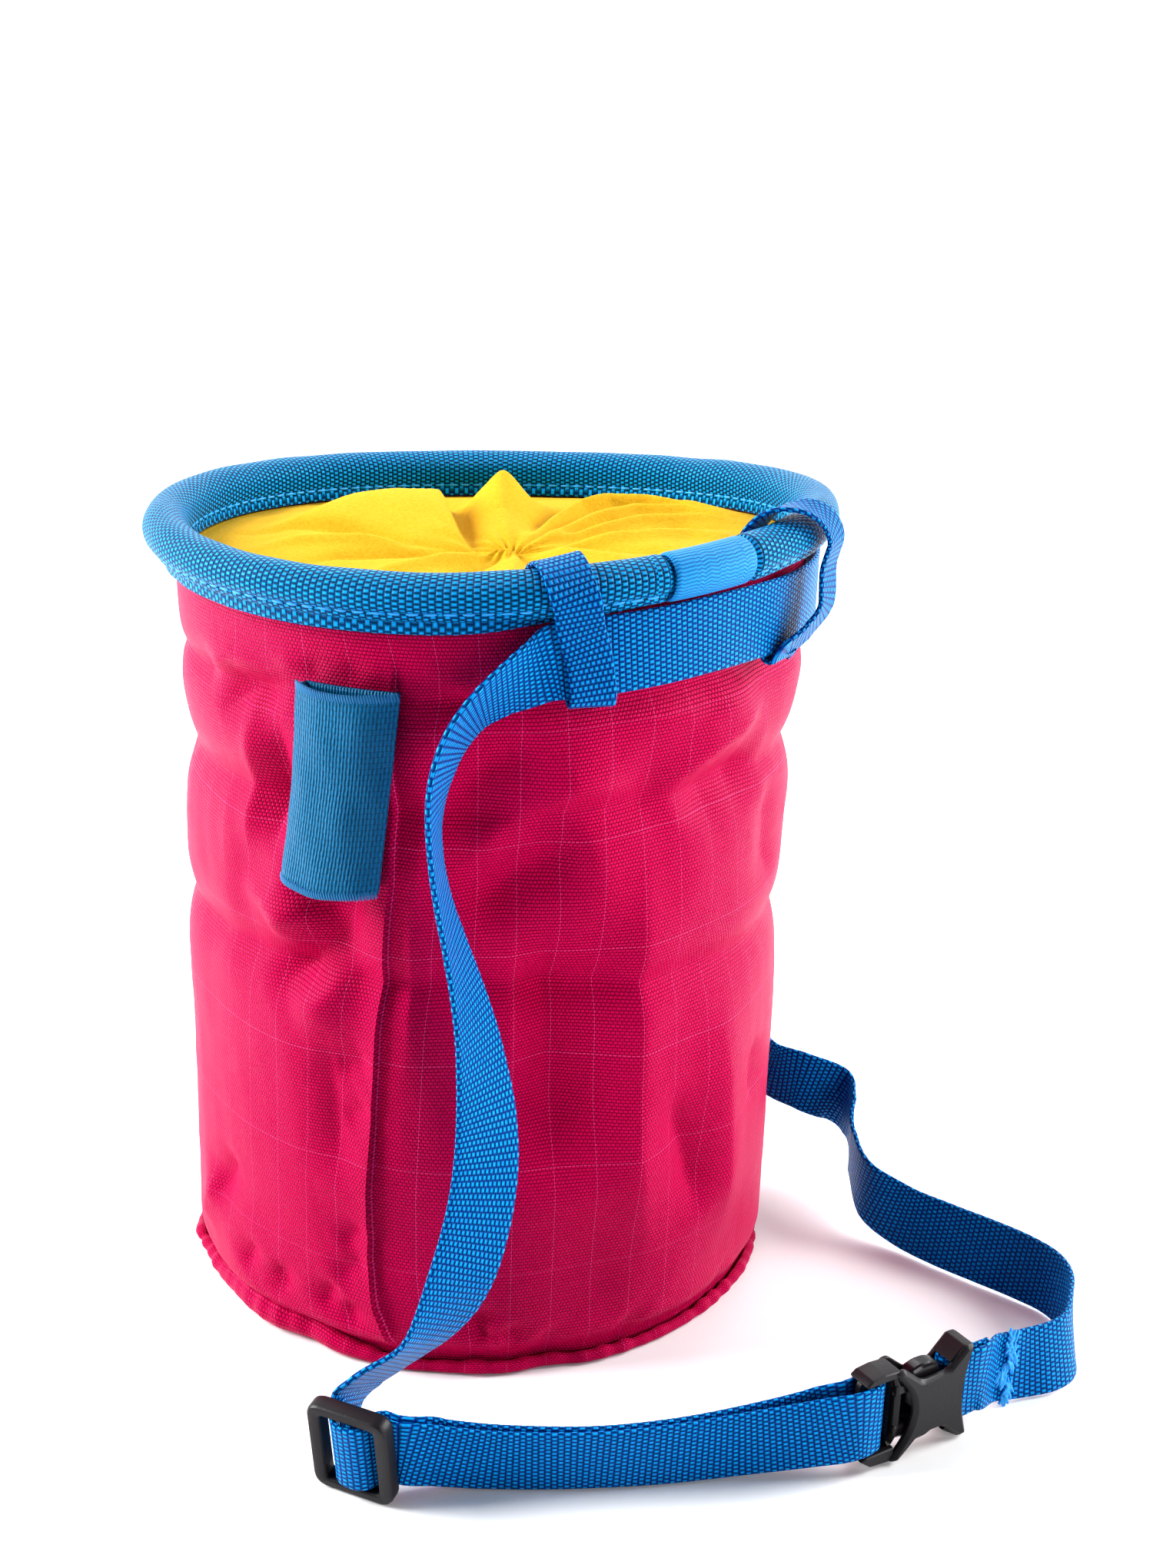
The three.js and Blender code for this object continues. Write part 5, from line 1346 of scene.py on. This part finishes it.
def rounded(corners, radius, steps=7):
    """Closed outline whose corners are parabolas that start and end one radius from them."""
    corners = np.array(corners, float)
    radius = np.broadcast_to(radius, len(corners))[:, None]
    start = corners + unit(np.roll(corners, 1, 0) - corners) * radius
    end = corners + unit(np.roll(corners, -1, 0) - corners) * radius
    t = np.linspace(0, 1, steps)[None, :, None]
    curve = (1 - t) ** 2 * start[:, None] + 2 * t * (1 - t) * corners[:, None] + t**2 * end[:, None]
    return curve.reshape(-1, 2)


def inset(outline, depth):
    """Outline moved inwards: each point goes along the mean normal of its two edges."""
    edges = np.roll(outline, -1, 0) - outline
    normal = unit(np.stack([edges[:, 1], -edges[:, 0]], 1))
    mean = unit(normal + np.roll(normal, 1, 0))
    mitre = np.maximum(np.sum(mean * normal, 1, keepdims=True), 0.6)
    return outline - mean * depth / mitre


def box(x, y, middle=0.0):
    """Corners of a rectangle from its half sizes."""
    return [(middle + x, -y), (middle + x, y), (middle - x, y), (middle - x, -y)]


def plate(name, corners, radii, levels, place, material, steps=7):
    """Moulded plate: its outline at several levels, each moved inwards by its own depth. The
    radii of the corners that stick out get smaller by as much."""
    corners = np.array(corners, float)
    edges = np.roll(corners, -1, 0) - corners
    before = np.roll(edges, 1, 0)
    sticks_out = before[:, 0] * edges[:, 1] - before[:, 1] * edges[:, 0] > 0
    levels = [(levels[0][0] + 0.06, levels[0][1]), *levels, (levels[-1][0] + 0.06, levels[-1][1])]
    rows = []
    for depth, z in levels:
        smaller = np.maximum(np.array(radii) - depth, 0.08)
        outline = rounded(inset(corners, depth), np.where(sticks_out, smaller, radii), steps)
        rows.append(np.column_stack([outline, np.full(len(outline), z)]))
    points = placed(np.array(rows), place)
    places = np.zeros((len(levels), points.shape[1] + 1, 2))
    solid = surface(name, points, places, wrap=(False, True), caps=(True, True), soft=22)
    return finish(solid, material)


def moulded_ring(name, outer, inner, rows, place, material):
    """Moulded frame: rows between an inner and an outer outline, at their own levels."""
    points = [
        np.column_stack([inner + (outer - inner) * share, np.full(len(outer), z)])
        for share, z in rows
    ]
    points = placed(np.array(points), place)
    places = np.zeros((len(rows) + 1, len(outer) + 1, 2))
    solid = surface(name, points, places, wrap=(True, True), soft=30)
    return finish(solid, material)


def slider():
    """Rounded rectangular frame with bevelled edges and a thin bar across its middle."""
    outer = rounded(box(8.5, 10.0), 3.0)
    inner = rounded(box(OPENING, 7.8), 0.9)
    face = [(0.0, 1.25), (0.08, 1.6), (0.22, 1.8), (0.7, 1.8), (0.86, 1.7), (0.96, 1.4), (1.0, 1.0)]
    rows = face + [(share, -z) for share, z in face[::-1]]
    ring = moulded_ring("slider_frame", outer, inner, rows, SLIDER_PLACE, SATIN)
    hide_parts("slider")
    levels = [(0.3, -2.0), (0, -1.7), (0, -0.7), (0.3, -0.4)]
    plate("slider_bar", box(1.1, 8.2), 0.3, levels, SLIDER_PLACE, SATIN, 3)


def buckle_socket():
    """Two cross-shaped plates with hollow sides, joined by a block in each right-hand horn."""
    x, y = 10.0, 10.5
    cross = [
        (x, -0.98 * y),
        (0.86 * x, -0.5 * y),
        (0.8 * x, 0),
        (0.86 * x, 0.5 * y),
        (x, 0.98 * y),
        (0.78 * x, y),
        (0.32 * x, 0.6 * y),
        (-0.3 * x, 0.6 * y),
        (-0.8 * x, y),
        (-x, 0.94 * y),
        (-0.56 * x, 0.42 * y),
        (-0.44 * x, 0),
        (-0.56 * x, -0.42 * y),
        (-x, -0.94 * y),
        (-0.8 * x, -y),
        (-0.3 * x, -0.6 * y),
        (0.32 * x, -0.6 * y),
        (0.78 * x, -y),
    ]
    radii = [0.7, 2.4, 2.4, 2.4, 0.7, 0.8, 1.2, 1.2, 0.9, 0.8, 2.2, 2.2, 2.2, 0.8, 0.9, 1.2, 1.2, 0.8]
    front = [(0.15, 2.05), (0, 2.2), (0, 2.75), (0.08, 2.9), (0.72, 3.52), (0.84, 3.6)]
    cover = plate("socket_front", cross, radii, front, SOCKET_PLACE, SATIN)
    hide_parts("buckle_socket")
    plate("socket_back", cross, radii, [(d, -z) for d, z in front], SOCKET_PLACE, SATIN)
    for name, side in (("socket_horn_top", 1), ("socket_horn_bottom", -1)):
        horn = [(3.9, 7.85), (7.8, 10.45), (9.95, 10.25), (9.1, 7.85)]
        horn = [(a, side * b) for a, b in horn][::-side]
        plate(name, horn, 0.35, [(0, -2.4), (0, 2.4)], SOCKET_PLACE, SATIN, 4)
    levels = [(0.2, -1.2), (0, -1.0), (0, 0.2), (0.2, 0.4)]
    plate("socket_bar", box(1.0, 8.1, 6.2), 0.4, levels, SOCKET_PLACE, SATIN, 3)
    plate("socket_rib", box(3, 1.4), 0.3, [(0, -2.4), (0, 2.4)], SOCKET_PLACE, SATIN, 3)


def buckle_plug():
    """Frame with an eight-sided opening and a hidden bar for the belt, a tongue, and two curved
    prongs that show between the socket's horns."""
    frame_right = [(-9.6, -10.1), (-9.6, 10.3), (-12.0, 10.5), (-15.2, 10.2)]
    frame_left = [(-17.0, 8.6), (-17.0, 2.0), (-17.0, -7.0), (-14.2, -9.6)]
    radii = [0.6, 0.5, 0.8, 1.0, 1.0, 0.3, 1.2, 1.0]
    outer = rounded(frame_right + frame_left, radii)
    window = [(-9.9, -6.9), (-9.9, 8.7), (-11.4, 8.7), (-12.6, 8.7)]
    window += [(-12.6, 6.0), (-12.6, 2.0), (-12.6, -6.9), (-11.4, -6.9)]
    inner = rounded(window, 0.2)
    face = [(0.0, 0.6), (0.12, 1.1), (0.85, 1.1), (1.0, 0.6)]
    rows = face + [(share, -z) for share, z in face[::-1]]
    ring = moulded_ring("plug_bar", outer, inner, rows, SOCKET_PLACE, SATIN)
    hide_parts("buckle_plug")
    # The upper and lower cheeks, thick from front to back, outside the belt's edges
    for name, corners in (
        (
            "plug_cheek_top",
            [(-8.6, 8.75), (-8.6, 10.3), (-12.5, 10.6), (-15.6, 10.3), (-17.0, 9.35), (-16.6, 8.75)],
        ),
        (
            "plug_cheek_bottom",
            [(-8.6, -10.2), (-8.6, -7.1), (-15.6, -7.1), (-17.0, -7.6), (-14.4, -9.7)],
        ),
    ):
        levels = [(0.3, -2.7), (0.08, -2.45), (0, -2.1), (0, 2.1), (0.08, 2.45), (0.3, 2.7)]
        plate(name, corners, 0.34, levels, SOCKET_PLACE, SATIN, 5)
    # The arch that the tongue ends in, its outline and its opening with as many corners
    arch = [(-6.9, -5.0), (-6.9, 5.6), (-8.6, 8.9), (-10.0, 9.2)]
    arch += [(-10.2, 8.0), (-10.2, 1.0), (-10.2, -7.0), (-8.8, -7.6)]
    hollow = [(-8.4, -4.2), (-8.4, 5.0), (-9.3, 7.6), (-9.7, 7.8)]
    hollow += [(-9.9, 7.0), (-9.9, 1.0), (-9.9, -6.0), (-9.4, -6.2)]
    outer = rounded(arch, 0.8)
    inner = rounded(hollow, 0.5)
    rows = [(0.0, -1.7), (0.0, 0.4), (0.3, 1.2), (0.75, 1.7), (1.0, 1.5), (1.0, -1.7)]
    moulded_ring("plug_arch", outer, inner, rows, SOCKET_PLACE, GLOSS)
    for name, side in (("plug_prong_top", 1), ("plug_prong_bottom", -1)):
        corners = [(-8.4, 3.2), (-4.0, 3.4), (1.6, 5.0), (2.9, 6.2), (2.3, 7.9)]
        corners += [(0.4, 8.6), (-2.2, 8.7), (-4.6, 8.1), (-6.0, 6.4), (-8.4, 6.2)]
        corners = [(a, side * b) for a, b in corners][::side]
        levels = [(0.7, -1.7), (0.2, -1.4), (0, -1.0), (0, 1.0), (0.2, 1.4), (0.7, 1.7)]
        plate(name, corners, 0.85, levels, SOCKET_PLACE, GLOSS)


# Stage, light and camera


def stage():
    """White floor, and a lit backdrop that curves up from it."""
    turn = np.linspace(0, np.pi / 2, 16)
    lines = {
        "studio_floor": (np.array([-3000.0, -1000, 1500]), np.zeros(3)),
        "studio_backdrop": (
            np.append(1500 + 900 * np.sin(turn), 2400),
            np.append(900 - 900 * np.cos(turn), 3500),
        ),
    }
    for name, (run, rise) in lines.items():
        x, y = np.meshgrid([-4500.0, 4500.0], run)
        points = np.stack([x, y, np.repeat(rise[:, None], 2, 1)], -1)
        sweep = surface(name, points, np.zeros((len(run), 2, 2)), soft=80)
        glow = 1.0 if name == "studio_backdrop" else 0.0
        paper, _, _ = shader(
            name + " paper",
            Roughness=0.9,
            **{
                "Base Color": linear("#f4f4f4"),
                "Emission Color": linear("#ffffff"),
                "Emission Strength": glow,
            },
        )
        sweep.data.materials.append(paper)


def area_light(name, place, target, size, power):
    """White rectangular softbox, turned so that it shines on its target."""
    light = bpy.data.lights.new(name, "AREA")
    light.shape = "RECTANGLE"
    light.size, light.size_y = size
    light.energy = power
    lamp = bpy.data.objects.new(name, light)
    lamp.location = place
    lamp.rotation_euler = (Vector(target) - Vector(place)).to_track_quat("-Z", "Y").to_euler()
    bpy.context.collection.objects.link(lamp)


def lights():
    """Softboxes to the left, to the right, in front and above, and a weak even world."""
    area_light("left_softbox", (-1.1, 0.0, 0.6), (0, 0, 0.09), (0.6, 0.9), 30)
    area_light("right_softbox", (1.1, 0.15, 0.6), (0, 0, 0.09), (0.5, 0.9), 20)
    area_light("front_softbox", (0.8, -0.75, 0.45), (0.05, 0, 0.08), (0.4, 0.6), 5)
    area_light("top_softbox", (-0.1, 0.7, 1.2), (0, 0, 0.1), (1.2, 0.7), 9)
    world = bpy.data.worlds.new("studio")
    world.use_nodes = True
    background = world.node_tree.nodes["Background"]
    background.inputs["Color"].default_value = (1, 1, 1, 1)
    background.inputs["Strength"].default_value = 0.08
    bpy.context.scene.world = world
    bpy.context.scene.view_settings.view_transform = "Standard"
    bpy.context.scene.view_settings.look = "Medium High Contrast"


def camera():
    """Camera solved from the photo: 18.6 degrees down, 2.7 towards +X and rolled by 1.8."""
    pitch, yaw, roll = np.array([18.6, 2.7, 1.8]) * DEG
    ahead = np.array([np.sin(yaw) * np.cos(pitch), np.cos(yaw) * np.cos(pitch), -np.sin(pitch)])
    level = np.array([np.cos(yaw), -np.sin(yaw), 0])
    upright = np.cross(level, ahead)
    right = np.cos(roll) * level + np.sin(roll) * upright
    up = -np.sin(roll) * level + np.cos(roll) * upright
    lens = bpy.data.cameras.new("photo_camera")
    lens.lens, lens.sensor_width, lens.sensor_fit = 45.0, 36.0, "AUTO"
    lens.clip_end = 50
    eye = bpy.data.objects.new("photo_camera", lens)
    turn = Matrix(np.stack([right, up, -ahead], 1).tolist()).to_4x4()
    eye.matrix_world = Matrix.Translation((0, -0.408, 0.245)) @ turn
    bpy.context.collection.objects.link(eye)
    bpy.context.scene.camera = eye


camera()
lights()
stage()
side_wall()
base_panel()
rim_binding()
rim_stitching()
rim_splice()
closure()
brush_holder()
belt_loops()
belt_bartack(belt())
slider()
buckle_socket()
buckle_plug()
